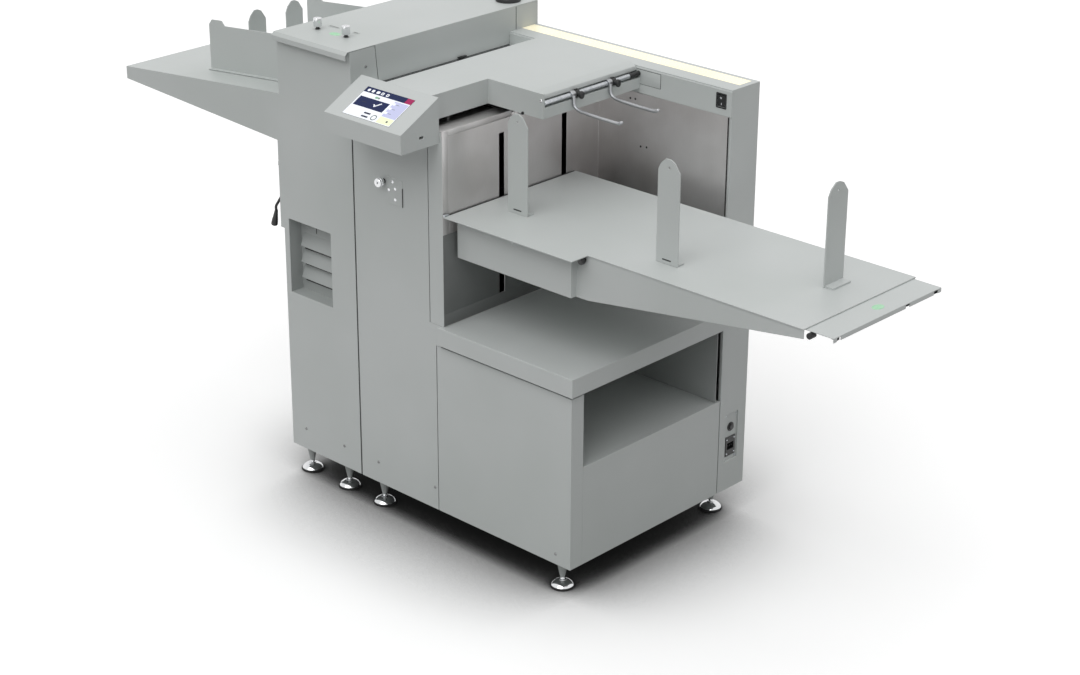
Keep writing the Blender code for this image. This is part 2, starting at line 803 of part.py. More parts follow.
# Feed head: hollow cover, rod, collars and wire fingers
def feed_head():
    left = bridge_left + gap * 2
    right = bridge_right
    neck_right = bridge_left + neck_width
    back = body_depth - sheet - gap * 2
    wall = bridge_wall
    outer = [(left, neck_front), (neck_right, neck_front), (neck_right, head_front),
             (right, head_front), (right, back), (left, back)]
    inner = [(left + wall, neck_front + wall), (neck_right - wall, neck_front + wall),
             (neck_right - wall, head_front + wall), (right - edge_solid, head_front + wall),
             (right - edge_solid, back - wall), (left + wall, back - wall)]
    cover = node("bridge_cover", paint("bridge"), prism(2, outer, bridge_low, bridge_top))
    cut(cover, prism(2, inner, bridge_low - overrun, bridge_top - wall))
    edge = [(right - chamfer_width, bridge_top), (right - chamfer_foot, bridge_top - chamfer_drop),
            (right - groove_depth, bridge_top - groove_top),
            (right - groove_depth, bridge_top - groove_low),
            (right + overrun, bridge_top - groove_low), (right + overrun, bridge_top + overrun),
            (right - chamfer_width, bridge_top + overrun)]
    cut(cover, prism(1, edge, head_front + bridge_cheek, back + overrun))
    half = chamber_width / 2
    cheeks = (drum_low - gap - cheek_thickness, drum_high + gap)
    weld(cover, *[block((drum_x - half, y, drum_z - journal_radius * 2),
                        (drum_x + half, y + cheek_thickness, bridge_top - wall / 2)) for y in cheeks])
    cut(cover, *[cylinder(1, (drum_x, 0, drum_z), journal_radius + gap, y - overrun,
                          y + cheek_thickness + overrun, 12) for y in cheeks])
    rod_x = right - rod_inset
    rod_z = bridge_top - rod_drop
    node("bridge_rod", metal("rod"),
         cylinder(1, (rod_x, 0, rod_z), rod_radius, head_front + bridge_cheek + gap, back, 16), smooth=True)
    bore = rod_radius + gap
    ring = bore + collar_wall
    for name, y in (("front", finger_front), ("rear", body_depth - finger_back_room)):
        end = y + collar_width
        knob = rod_x + ring + collar_lug / 2
        collar = node(name + "_finger_collar", black(name + "_collar"),
                      cylinder(1, (rod_x, 0, rod_z), ring, y, end, 16), pivot=(rod_x, y, rod_z))
        weld(collar, block((rod_x, y + sheet / 2, rod_z - ring / 2),
                           (rod_x + ring + collar_lug, end - sheet / 2, rod_z + ring / 2)),
             cylinder(0, (0, y + collar_width / 2, rod_z), collar_knob_radius, knob,
                      knob + collar_knob_width, 16))
        cut(collar, cylinder(1, (rod_x, 0, rod_z), bore, y - overrun, end + overrun, 16))
        wire(name, rod_x, y - gap - finger_eye_width, rod_z, bore)


def wire(name, rod_x, y, rod_z, bore):
    middle = y + finger_radius
    outer = bore + finger_eye_wall
    first, second, third = finger_fall_shares
    points = [(outer - finger_eye_wall / 2, 0), (finger_out, -finger_drop * first),
              (finger_out + finger_radius, -finger_drop * second), (finger_elbow, -finger_drop * third),
              (finger_reach - finger_tip, -finger_drop), (finger_reach, -finger_drop + finger_tip_rise)]
    sides = 8

    def bar(bm):
        rings = []
        for i, (x, z) in enumerate(points):
            before = points[max(i - 1, 0)]
            after = points[min(i + 1, len(points) - 1)]
            run = Vector((after[0] - before[0], 0, after[1] - before[1])).normalized()
            side = Vector((0, 1, 0))
            up = run.cross(side)
            centre = Vector((rod_x + x, middle, rod_z + z))
            ring = []
            for k in range(sides):
                angle = math.tau * k / sides
                ring.append(bm.verts.new(centre + (side * math.cos(angle) + up * math.sin(angle))
                                         * finger_radius))
            rings.append(ring)
        for a, b in zip(rings, rings[1:]):
            for k in range(sides):
                bm.faces.new((a[k], a[(k + 1) % sides], b[(k + 1) % sides], b[k]))
        bm.faces.new(rings[0])
        bm.faces.new(rings[-1])

    finger = node(name + "_finger", metal(name + "_finger"),
                  cylinder(1, (rod_x, 0, rod_z), outer, y, y + finger_eye_width, 16),
                  pivot=(rod_x, middle, rod_z), smooth=True)
    weld(finger, bar)
    cut(finger, cylinder(1, (rod_x, 0, rod_z), bore, y - overrun, y + finger_eye_width + overrun, 16))


infeed_x = wall_x - infeed_back
exit_x = left_x + exit_inset
lower_z = path_z - lower_roller_radius - nip / 2
upper_z = path_z + upper_roller_radius + nip / 2
crease_x = left_x + crease_inset
cam_z = (path_z + blade_rest + blade_edge_height + blade_beam_height + cam_clearance
         + cam_base_radius)
lift_x = wall_x - lift_inset


# Side frames that carry every shaft, tied by two bars and the grooved matrix bar
def side_frames():
    left = left_x + frame_low_inset
    right = worktop_left - gap
    hump_left = infeed_x - frame_hump_back * 2
    hump_right = infeed_x + frame_hump_front * 2
    low_top = wall_z - path_rise
    hump_top = path_z + frame_hump_height
    tall = lid_z - frame_top_drop
    lid_right = mid_x - sheet - gap * 3
    outline = [(left, deck_base_z + gap), (right, deck_base_z + gap), (right, low_top),
               (hump_right, low_top), (hump_right, hump_top), (hump_left, hump_top),
               (hump_left, low_top), (lid_right, low_top), (lid_right, tall), (left, tall)]
    frames = node("side_frames", metal("frame"), prism(1, outline, frame_front, frame_front + plate))
    inner_low = frame_front + plate / 2
    inner_high = frame_rear + plate / 2
    bar = matrix_width / 2
    slot = groove_width / 2
    top_z = path_z - nip
    matrix = [(crease_x - bar, top_z - matrix_depth), (crease_x + bar, top_z - matrix_depth),
              (crease_x + bar, top_z), (crease_x + slot, top_z), (crease_x + slot, top_z - groove_sink),
              (crease_x - slot, top_z - groove_sink), (crease_x - slot, top_z), (crease_x - bar, top_z)]
    weld(frames, prism(1, matrix, inner_low, inner_high),
         *[cylinder(1, (x, 0, base_z + tie_rise), tie_radius, inner_low, inner_high, 12)
           for x in (crease_x, infeed_x)],
         prism(1, outline, frame_rear, frame_rear + plate))
    bore = journal_radius + gap
    places = [(infeed_x, lower_z), (infeed_x, upper_z), (exit_x, lower_z), (crease_x, cam_z)]
    cut(frames, *[cylinder(1, (x, 0, z), bore, y - overrun, y + plate + overrun, 12)
                  for x, z in places for y in (frame_front, frame_rear)])


pulley_y = frame_rear + plate + belt_gap_behind


# Rollers with their journals
def rollers():
    def roller(name, z, x, radius, with_pulley):
        end = frame_rear + plate
        profile = [(0, frame_front), (journal_radius, frame_front), (journal_radius, roller_low),
                   (radius, roller_low), (radius, roller_high), (journal_radius, roller_high)]
        if with_pulley:
            profile += [(journal_radius, pulley_y), (pulley_radius, pulley_y),
                        (pulley_radius, pulley_y + belt_width), (0, pulley_y + belt_width)]
        else:
            profile += [(journal_radius, end), (0, end)]
        node(name, black(name), turned(1, (x, 0, z), profile, 20), pivot=(x, 0, z), smooth=True)

    roller("infeed_roller_lower", lower_z, infeed_x, lower_roller_radius, True)
    roller("infeed_roller_upper", upper_z, infeed_x, upper_roller_radius, False)
    roller("exit_roller", lower_z, exit_x, lower_roller_radius, True)


# Creasing blade and the cam shaft that presses it into the matrix
def creasing_unit():
    half = blade_width / 2
    edge = blade_edge / 2
    tip = path_z + blade_rest
    shoulder = tip + blade_edge_height
    top = shoulder + blade_beam_height
    outline = [(crease_x - edge, tip), (crease_x + edge, tip), (crease_x + edge, shoulder),
               (crease_x + half, shoulder), (crease_x + half, top), (crease_x - half, top),
               (crease_x - half, shoulder), (crease_x - edge, shoulder)]
    node("crease_blade", metal("blade"), prism(1, outline, roller_low, roller_high),
         pivot=(crease_x, 0, tip))
    steps = 24
    heart = []
    for k in range(steps):
        angle = -math.pi + math.tau * k / steps
        radius = cam_base_radius + blade_stroke * abs(angle) / math.pi
        heart.append((crease_x + radius * math.sin(angle), cam_z - radius * math.cos(angle)))
    first = roller_low + cam_end_inset
    last = roller_high - cam_end_inset
    shaft = node("cam_shaft", metal("cam"),
                 cylinder(1, (crease_x, 0, cam_z), journal_radius, frame_front, frame_rear + plate, 16),
                 pivot=(crease_x, 0, cam_z))
    weld(shaft, prism(1, heart, first, first + cam_width), prism(1, heart, last - cam_width, last))


# Suction drum that hangs in the feed head
def suction():
    ends = (drum_low - gap - cheek_thickness, drum_high + gap + cheek_thickness)
    profile = [(0, ends[0]), (journal_radius, ends[0]), (journal_radius, drum_low),
               (drum_radius, drum_low), (drum_radius, drum_high), (journal_radius, drum_high),
               (journal_radius, ends[1]), (0, ends[1])]
    node("suction_drum", finish("drum", dark_grey, 0.6, 0.0), turned(1, (drum_x, 0, drum_z), profile, 24),
         pivot=(drum_x, 0, drum_z), smooth=True)


def wrap(circles, offset, steps=48):
    points = []
    for k in range(steps):
        way = Vector((math.cos(math.tau * k / steps), math.sin(math.tau * k / steps)))
        x, z, r = max(circles, key=lambda c: c[0] * way.x + c[1] * way.y + c[2])
        points.append((x + (r + offset) * way.x, z + (r + offset) * way.y))
    return points


# Main motor on the infeed roller, and the belt round the two pulleys
def drive():
    half = motor_size / 2
    node("main_motor", finish("motor", dark_grey, 0.5, 0.3),
         block((infeed_x - half, pulley_y + belt_width + gap, lower_z - half),
               (infeed_x + half, back_y - sheet - gap, lower_z + half)))
    circles = [(exit_x, lower_z, pulley_radius), (infeed_x, lower_z, pulley_radius)]
    inner = wrap(circles, gap)
    outer = wrap(circles, gap + belt_thickness)

    def band(bm):
        sides = []
        for y in (pulley_y + gap, pulley_y + belt_width - gap):
            sides.append([[bm.verts.new((x, y, z)) for x, z in ring] for ring in (inner, outer)])
        count = len(inner)
        for k in range(count):
            n = (k + 1) % count
            (a_in, a_out), (b_in, b_out) = sides
            bm.faces.new((a_in[k], a_in[n], a_out[n], a_out[k]))
            bm.faces.new((b_in[k], b_in[n], b_out[n], b_out[k]))
            bm.faces.new((a_in[k], a_in[n], b_in[n], b_in[k]))
            bm.faces.new((a_out[k], a_out[n], b_out[n], b_out[k]))

    node("drive_belt", black("belt"), band)


# Vacuum blower and power supply on one tray under the storage bay
def power_unit():
    low = deck_base_z + gap
    z = low + unit_tray
    supply_y = unit_front + blower_length + unit_space
    supply_back = body_depth - unit_back_room
    unit = node("vacuum_and_power_unit", finish("unit", dark_grey, 0.5, 0.2),
                block((-bay_depth, unit_front, low),
                      (-unit_right, supply_back, z)))
    blower_x = -blower_inset - blower_radius
    weld(unit, cylinder(1, (blower_x, 0, z + blower_radius - sheet), blower_radius, unit_front + sheet,
                        unit_front + blower_length, 20),
         block((-blower_inset - supply_width, supply_y, z - sheet),
               (-blower_inset, supply_back - sheet, z + supply_height)))


# Table lift: frame with rods and motor, screw, and carriage
def lift():
    low = deck_base_z + gap
    high = wall_z - lift_plate_drop
    half = carriage_width / 2
    motor = lift_motor_size / 2
    motor_top = deck_base_z + lift_motor_height
    frame = node("lift_frame", metal("lift"),
                 block((lift_x - half, carriage_front, low),
                       (lift_x + half, carriage_back, low + lift_plate_thickness)))
    weld(frame, block((lift_x - motor, lift_centre - motor, low + lift_plate_thickness / 2),
                      (lift_x + motor, lift_centre + motor, motor_top)),
         *[cylinder(2, (lift_x, y, 0), lift_rod_radius, low + lift_plate_thickness / 2,
                    high + lift_plate_thickness / 2, 16) for y in lift_rods],
         block((lift_x - half, frame_front + plate + gap, high),
               (lift_x + half, frame_rear - gap, high + lift_plate_thickness)))
    screw_low = motor_top + gap
    node("lift_screw", metal("screw"),
         cylinder(2, (lift_x, lift_centre, 0), lift_screw_radius, screw_low, high - gap, 16),
         pivot=(lift_x, lift_centre, screw_low), smooth=True)
    top = table_z - carriage_drop + carriage_height
    low_z = top - carriage_height
    carriage = node("table_carriage", finish("carriage", dark_grey, 0.5, 0.5),
                    block((lift_x - half, carriage_front, low_z), (lift_x + half, carriage_back, top)))
    weld(carriage, *[block((lift_x, y - arm_thickness / 2, low_z + sheet),
                           (table_left + gusset_root_inset - gap, y + arm_thickness / 2, top - sheet))
                     for y in lift_rods])
    cut(carriage, *[cylinder(2, (lift_x, y, 0), r + gap, low_z - overrun, top + overrun, 16)
                    for y, r in ((lift_rods[0], lift_rod_radius), (lift_centre, lift_screw_radius),
                                 (lift_rods[1], lift_rod_radius))])


# Feed table
def feed_table():
    left = table_left
    right = table_right
    front = table_front
    back = front + table_depth
    under = table_z - thick_sheet
    top = [(left, 0), (-flap_right, 0), (-flap_right, front), (right, front), (right, back),
           (left, back)]
    node("table_top", paint("table"), prism(2, top, under, table_z))
    root = left + gusset_root_inset
    bend = -flap_right
    side = [(root, under - gap - gusset_root_depth), (bend, under - gap - gusset_root_depth + sheet * 2),
            (right, under - gap - gusset_tip_depth), (right, under - gap), (root, under - gap)]
    box_low = table_z - box_height - sheet * 2
    box_left = left + box_setback
    skirt = node("table_frame", paint("table_frame"), prism(1, side, front + sheet, front + sheet * 2))
    weld(skirt, block((root, front + sheet * 1.5, under - gap - gusset_root_depth + sheet * 2),
                      (root + thick_sheet, back - sheet * 1.5, under - gap)),
         prism(1, side, back - sheet * 2, back - sheet),
         block((box_left, box_front, box_low), (-box_right, front + sheet * 1.5, under - gap)))
    cut(skirt, block((box_left + sheet, box_front + sheet, box_low + sheet),
                     (-box_right - sheet, front, under + overrun)))
    slide_z = under - gap
    deep = extension_flange
    tip = extension_right
    outline = [(right - extension_tuck, slide_z - sheet), (tip - sheet, slide_z - sheet),
               (tip - sheet, slide_z - deep), (tip, slide_z - deep), (tip, slide_z),
               (right - extension_tuck, slide_z)]
    low_y = front + extension_inset
    high_y = back - extension_inset / 2
    leaf = node("table_extension", paint("extension"), prism(1, outline, low_y, high_y),
                pivot=(right, front, slide_z))
    notch_shares = (0.03, 0.66, 0.93)
    cut(leaf, *[block((tip - sheet * 2, low_y + (high_y - low_y) * share,
                       slide_z - deep - overrun),
                      (tip + overrun, low_y + (high_y - low_y) * share + flange_notch,
                       slide_z - sheet * 1.2)) for share in notch_shares])


def guide_outline(low, high, z_low, z_high, shoulder):
    width = high - low
    top = [(low + width * across, z_high - shoulder * down) for across, down in guide_top_shares]
    return [(low, z_low), (high, z_low), *top]


# Upright guides that stand on the feed table
def uprights():
    z = table_z + gap
    for name, left in (("front_upright_left", table_left + first_upright_setback),
                       ("front_upright_right", table_left + second_upright_setback)):
        outline = guide_outline(left, left + upright_width, z, z + upright_height, upright_shoulder)
        y = upright_line
        thing = node(name, paint(name), prism(1, outline, y, y + thick_sheet),
                     pivot=(left + upright_width / 2, y, z))
        weld(thing, block((left + thick_sheet, y + sheet, z),
                          (left + upright_width - thick_sheet, y + upright_foot, z + upright_foot_height)))
        cut(thing, cylinder(1, (left + upright_width / 2, 0, z + upright_height - upright_hole_drop),
                            upright_hole_radius, y - overrun, y + thick_sheet + overrun, 8))
    low = end_stop_front
    outline = guide_outline(low, low + end_stop_width, z, z + end_stop_height, upright_shoulder)
    x = table_right - end_stop_inset
    stop = node("end_stop", paint("end_stop"), prism(0, outline, x, x + thick_sheet),
                pivot=(x, low + end_stop_width / 2, z))
    weld(stop, block((x + sheet, low + thick_sheet, z),
                     (x + upright_foot, low + end_stop_width - thick_sheet, z + upright_foot_height)))
    cut(stop, cylinder(0, (0, low + end_stop_width / 2, z + end_stop_height - upright_hole_drop),
                       upright_hole_radius, x - overrun, x + thick_sheet + overrun, 8))


def delivery_surface(x):
    run = (bracket_left - x) / delivery_length
    return delivery_top - delivery_fall * run


# Delivery table with its guides and stops
def delivery():
    right = bracket_left
    left = delivery_left
    top = delivery_top
    bracket_low = top - bracket_length
    front = delivery_front
    back = front + delivery_depth
    outline = [(right, top), (left, top - delivery_fall), (left, top - delivery_fall - delivery_tip_depth),
               (right, top - delivery_root_depth)]
    inner = [(right - sheet, top - thick_sheet), (left + sheet, top - delivery_fall - thick_sheet),
             (left + sheet, top - delivery_fall - delivery_tip_depth - delivery_root_depth),
             (right - sheet, top - delivery_root_depth * 2)]
    tray = node("delivery_table", paint("delivery"), prism(1, outline, front, back))
    cut(tray, prism(1, inner, front + sheet, back - sheet))
    weld(tray, block((right - sheet / 2, front, bracket_low), (left_x - gap, back, top)))
    cut(tray, block((right + sheet, front + sheet, bracket_low + sheet),
                    (left_x + overrun, back - sheet, top - sheet)))
    near = right - guide_start
    far = near - guide_length
    lift = gap * 3
    guides = {"delivery_guide_front": guide_front, "delivery_guide_rear": back - guide_back_margin}
    for name, y in guides.items():
        tab = far + guide_tab_width
        high = guide_height
        rise = delivery_surface(far) + high + guide_tab_rise
        shape = [(near, delivery_surface(near) + lift), (near, delivery_surface(near) + high),
                 (tab, delivery_surface(tab) + high),
                 (tab - guide_tab_round / 2, rise - guide_tab_round / 2),
                 (tab - guide_tab_round, rise), (far + guide_tab_round, rise - guide_tab_round * 0.3),
                 (far, rise - guide_tab_round * 1.5), (far, delivery_surface(far) + lift)]
        plate_y = y
        guide = node(name, paint(name), prism(1, shape, plate_y, plate_y + thick_sheet),
                     pivot=(far, y, delivery_surface(far)))
        side = 1 if y > guide_front else -1
        ends = [(x, delivery_surface(x) + lift) for x in (near - sheet, far + sheet)]
        foot = ends + [(x, z + sheet) for x, z in reversed(ends)]
        inner_y = plate_y + thick_sheet / 2
        low_y, high_y = sorted((inner_y, inner_y + side * guide_foot))
        weld(guide, prism(1, foot, low_y, high_y))
    x = bracket_left - stop_distance
    z = delivery_surface(x) + lift
    stop_front = guide_front + stop_front_room
    stop_back = guides["delivery_guide_rear"] - stop_back_room
    posts = []
    for low in (stop_front, stop_back - stop_width):
        outline = guide_outline(low, low + stop_width, z, z + stop_height, upright_shoulder)
        posts.append(prism(0, outline, x, x + thick_sheet))
    stops = node("delivery_stops", paint("stops"), posts[0], pivot=(x, stop_front, z))
    slope = delivery_fall / delivery_length
    ends = [(x + d, z + d * slope) for d in (-stop_bar, thick_sheet)]
    bar = ends + [(a, b + sheet * 2) for a, b in reversed(ends)]
    weld(stops, prism(1, bar, stop_front, stop_back), posts[1])


# Short lead that hangs beside the tower
def hanging_lead():
    x = bracket_left - sheet / 2 - gap
    z = wall_z - gland_drop
    mid = gland_front + gland_width / 2
    low = z - gland_height
    node("lead_gland", black("gland"),
         block((x - gland_width, gland_front, low), (x, gland_front + gland_width, z)))
    start_x = x - gland_width / 2
    start_z = low - gap
    end_x = start_x - lead_swing
    end_z = start_z - lead_length
    route = [(start_x, start_z), (start_x, start_z - lead_end), (start_x, start_z - lead_length * 0.3),
             (start_x - lead_swing * 0.15, start_z - lead_length * 0.5),
             (start_x - lead_swing * 0.6, start_z - lead_length * 0.7),
             (end_x, end_z + lead_end), (end_x, end_z)]
    curve = bpy.data.curves.new("hanging_lead", "CURVE")
    curve.dimensions = "3D"
    curve.bevel_depth = lead_radius
    curve.bevel_resolution = 2
    curve.use_fill_caps = True
    line = curve.splines.new("POLY")
    smooth = smooth_points(route, 3)
    line.points.add(len(smooth) - 1)
    for point, (px, pz) in zip(line.points, smooth):
        point.co = (px, mid, pz, 1)
    curve.materials.append(black("lead"))
    lead = bpy.data.objects.new("hanging_lead", curve)
    bpy.context.collection.objects.link(lead)
    lead.parent = datum
    top = end_z - gap
    node("lead_connector", black("connector"),
         block((end_x - connector_width / 2, mid - connector_depth / 2, top - connector_height),
               (end_x + connector_width / 2, mid + connector_depth / 2, top)))


def smooth_points(points, parts):
    out = [points[0]]
    for i in range(len(points) - 1):
        p0 = points[max(i - 1, 0)]
        p1, p2 = points[i], points[i + 1]
        p3 = points[min(i + 2, len(points) - 1)]
        if i in (0, len(points) - 2):
            out.append(p2)
            continue
        for k in range(1, parts + 1):
            t = k / parts
            out.append(tuple(0.5 * (2 * b + (c - a) * t + (2 * a - 5 * b + 4 * c - d) * t * t
                                    + (3 * b - a - 3 * c + d) * t ** 3)
                             for a, b, c, d in zip(p0, p1, p2, p3)))
    return out


base()
cabinet()
tower()
stainless()
back_cover()
housing()
lid()
console()
air_knob()
feed_head()
side_frames()
rollers()
creasing_unit()
suction()
drive()
power_unit()
lift()
feed_table()
uprights()
delivery()
hanging_lead()
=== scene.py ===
import math
import json
import bmesh
import bpy
from mathutils import Matrix, Vector

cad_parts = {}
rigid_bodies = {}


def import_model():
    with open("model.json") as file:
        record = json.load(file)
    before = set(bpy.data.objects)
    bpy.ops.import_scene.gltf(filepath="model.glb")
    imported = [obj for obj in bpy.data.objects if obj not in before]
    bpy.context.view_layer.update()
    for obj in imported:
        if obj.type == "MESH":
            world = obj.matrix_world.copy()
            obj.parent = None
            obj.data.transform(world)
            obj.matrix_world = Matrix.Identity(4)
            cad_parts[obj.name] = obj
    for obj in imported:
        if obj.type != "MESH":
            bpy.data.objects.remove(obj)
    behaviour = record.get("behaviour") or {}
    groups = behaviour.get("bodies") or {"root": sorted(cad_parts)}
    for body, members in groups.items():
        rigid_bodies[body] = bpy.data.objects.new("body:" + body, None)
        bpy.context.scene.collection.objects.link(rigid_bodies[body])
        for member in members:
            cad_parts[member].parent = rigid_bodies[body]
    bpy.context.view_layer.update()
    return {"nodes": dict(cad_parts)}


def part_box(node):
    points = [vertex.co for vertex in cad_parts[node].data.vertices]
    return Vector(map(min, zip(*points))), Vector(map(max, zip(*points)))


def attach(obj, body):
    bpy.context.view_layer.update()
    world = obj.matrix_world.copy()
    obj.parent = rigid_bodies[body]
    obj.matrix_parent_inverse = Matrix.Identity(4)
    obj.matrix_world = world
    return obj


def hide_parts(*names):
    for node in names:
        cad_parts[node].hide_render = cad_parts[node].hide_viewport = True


for leftover in list(bpy.data.objects):
    bpy.data.objects.remove(leftover)  # an empty stage whatever Blender starts with
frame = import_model()
cadNodes = frame["nodes"]


# camera
camera = {
    "place": (3.66307, -3.76258, 2.74830),
    "right": (0.71862, 0.69540, -0.00104),
    "up": (-0.27587, 0.28645, 0.91752),
    "image": (1080, 675),  # pixels of the whole frame
    "focal": 2279.3,  # in those pixels
    "axisPixel": (508.7, 333.2),  # where the lens axis meets the picture
    "sensor": 36,  # mm
    "far": 100,  # metres
}


def makeCamera():
    wide, high = camera["image"]
    data = bpy.data.cameras.new("studioCamera")
    data.sensor_width = camera["sensor"]
    data.lens = camera["focal"] / wide * camera["sensor"]
    data.shift_x = (wide / 2 - camera["axisPixel"][0]) / wide
    data.shift_y = (camera["axisPixel"][1] - high / 2) / wide
    data.clip_end = camera["far"]
    item = bpy.data.objects.new("studioCamera", data)
    right, up = Vector(camera["right"]), Vector(camera["up"])
    item.matrix_world = Matrix.LocRotScale(
        Vector(camera["place"]), Matrix((right, up, right.cross(up))).transposed().to_quaternion(), None)
    bpy.context.scene.collection.objects.link(item)
    bpy.context.scene.camera = item


makeCamera()
bpy.context.scene.view_settings.view_transform = "Standard"
print("camera ready")


# node helpers
def linear(hexColour):
    channels = [int(hexColour[i:i + 2], 16) / 255 for i in (1, 3, 5)]
    return tuple(c / 12.92 if c <= 0.04045 else ((c + 0.055) / 1.055) ** 2.4 for c in channels) + (1.0,)


def perSize(millimetres):
    return 1000 / millimetres  # texture scale for a pattern of that real size


def addNode(tree, kind, inputs=None, **settings):
    node = tree.nodes.new(kind)
    for name, value in settings.items():
        setattr(node, name, value)
    for name, value in (inputs or {}).items():
        if isinstance(value, bpy.types.NodeSocket):
            tree.links.new(value, node.inputs[name])
        else:
            node.inputs[name].default_value = value
    return node


def startMaterial(name, **sockets):
    material = bpy.data.materials.new(name)
    material.use_nodes = True
    shader = material.node_tree.nodes["Principled BSDF"]
    for socket, value in sockets.items():
        shader.inputs[socket.replace("_", " ")].default_value = value
    return material, material.node_tree, shader


pattern = {
    "cloudDetail": 3.0, "cloudRoughness": 0.45,
    "cloudSpan": (0.35, 0.65),  # noise values where each colour is pure
    "grainDetail": 2.0,
    "grainSpan": (0.3, 0.7),  # noise values of the smoothest and the roughest grain
    "bumpStrength": 0.6,
}


def finishMaterial(name, colours, roughness, grain, height, stretch=(1, 1, 1), cloud=420, **sockets):
    # two colours drift over cloud mm, roughness and bump follow a grain of so many mm, height is in metres
    material, tree, shader = startMaterial(name, **sockets)
    place = addNode(tree, "ShaderNodeTexCoord").outputs["Object"]
    drift = addNode(tree, "ShaderNodeTexNoise", {
        "Vector": place, "Scale": perSize(cloud), "Detail": pattern["cloudDetail"],
        "Roughness": pattern["cloudRoughness"]})
    shade = addNode(tree, "ShaderNodeMapRange", {
        "Value": drift.outputs["Fac"], "From Min": pattern["cloudSpan"][0],
        "From Max": pattern["cloudSpan"][1]})
    colour = addNode(tree, "ShaderNodeMix", {
        "Factor": shade.outputs["Result"], "A": linear(colours[0]), "B": linear(colours[1])},
        data_type="RGBA")
    pulled = addNode(tree, "ShaderNodeMapping", {"Vector": place, "Scale": stretch})
    fine = addNode(tree, "ShaderNodeTexNoise", {
        "Vector": pulled.outputs["Vector"], "Scale": perSize(grain), "Detail": pattern["grainDetail"]})
    rough = addNode(tree, "ShaderNodeMapRange", {
        "Value": fine.outputs["Fac"], "From Min": pattern["grainSpan"][0],
        "From Max": pattern["grainSpan"][1], "To Min": roughness[0], "To Max": roughness[1]})
    bump = addNode(tree, "ShaderNodeBump", {
        "Height": fine.outputs["Fac"], "Distance": height, "Strength": pattern["bumpStrength"]})
    tree.links.new(colour.outputs["Result"], shader.inputs["Base Color"])
    tree.links.new(rough.outputs["Result"], shader.inputs["Roughness"])
    tree.links.new(bump.outputs["Normal"], shader.inputs["Normal"])
    return material


# finishes, each from the real one
finishes = {
    # polyester powder coat baked on steel: even, dull satin, with a fine orange peel
    # real peel is about 1 mm, drawn at 3 mm so that it shows
    "panel_paint": finishMaterial("powderCoatLightGrey", ("#CDD1D0", "#C5CAC8"), (0.42, 0.52), 3.2,
                                  0.00002, IOR=1.5),
    # the same coat one shade down, a painted shade for the plates that sit behind the panels
    "panel_paint_dark": finishMaterial("powderCoatPaintedShade", ("#B3B7B6", "#A9AEAC"), (0.46, 0.56), 3.2,
                                       0.00002, IOR=1.5),
    # cold rolled stainless, finely brushed: soft cloudy sheen, 0.4 mm grit drawn at 1.5 mm
    "stainless": finishMaterial("brushedStainless", ("#D8D6D6", "#C4C1C0"), (0.34, 0.48), 1.5,
                                0.000006, stretch=(1, 1, 0.05), cloud=190, Metallic=1.0),
    # ground and turned steel: even grey with a faint tool lay, 0.3 mm lay drawn at 1 mm
    "machined_steel": finishMaterial("groundSteel", ("#9A9B9B", "#838484"), (0.24, 0.36), 1.0,
                                     0.00001, stretch=(1, 0.05, 1), cloud=60, Metallic=1.0),
    # nickel chrome plating: mirror with a very light haze
    "chrome": finishMaterial("polishedChrome", ("#E4E5E6", "#D6D8DA"), (0.04, 0.09), 2.0, 0.000002,
                             cloud=20, Metallic=1.0),
    # moulded ABS: near black satin with a fine spark eroded grain, 0.2 mm drawn at 0.9 mm
    "black_plastic": finishMaterial("mouldedAbsBlack", ("#1B1C1D", "#151617"), (0.36, 0.48), 0.9,
                                    0.00003, cloud=30, IOR=1.54),
    # nitrile rubber: flat black with a dusty bloom
    "black_rubber": finishMaterial("nitrileRubberBlack", ("#1E1E1F", "#262627"), (0.6, 0.75), 1.2,
                                   0.00004, cloud=25, IOR=1.52),
    # toughened display glass with black print behind it
    "screen": finishMaterial("displayGlassBlack", ("#101318", "#14171C"), (0.08, 0.14), 6.0, 0.000001,
                             cloud=40, IOR=1.52),
    # turned and clear anodised aluminium: soft bright grey
    "aluminium": finishMaterial("anodisedAluminium", ("#B7B9BB", "#A9ABAE"), (0.3, 0.42), 0.8, 0.00001,
                                stretch=(1, 0.06, 1), cloud=50, Metallic=1.0),
    # stoved enamel on cast iron: dark satin grey with a sandy casting under it
    "motor_paint": finishMaterial("stovedEnamelDarkGrey", ("#3B3D40", "#33363A"), (0.4, 0.55), 2.4,
                                  0.00008, cloud=60, IOR=1.5),
    # bright zinc plate on the rod, the bracket and the inlet's screws: cool grey, half mirror
    "zinc": finishMaterial("brightZincPlate", ("#C6C9CC", "#B2B6BA"), (0.18, 0.3), 0.7, 0.000006,
                           cloud=8, Metallic=1.0),
    # cast vinyl label film in green, faded to its edge
    "vinyl": finishMaterial("greenVinylFilm", ("#B9E6C3", "#9ADBAB"), (0.3, 0.4), 1.0, 0.000004,
                            cloud=9, IOR=1.46),
    # mid grey inside the pressed handle slots, painted shade of their hollows: flat
    "recess": finishMaterial("handleSlotPaintedShade", ("#8D918F", "#828684"), (0.55, 0.7), 1.0, 0.00003,
                             cloud=15, IOR=1.53),
    # dark grey coat on a skin below the steel wall, painted shade standing in for the deep shade under the
    # table: flat
    "lower_wall_shade": finishMaterial("lowerWallPaintedShade", ("#7B7E7D", "#707372"), (0.6, 0.75), 2.6,
                                 0.00005, cloud=180, IOR=1.5),
    # dull charcoal for dark seam lines, and painted shade for the thin slots and the channel at the foot of
    # the lid
    "seam": finishMaterial("darkSeamAndPaintedShade", ("#4A4C4D", "#3D3F40"), (0.7, 0.85), 1.0, 0.00003,
                           cloud=20, IOR=1.5),
}
opal = {
    "colours": ("#FBF5DC", "#F6EFCF"),
    "light": "#FFF6D6",
    "glow": 0.3,
}


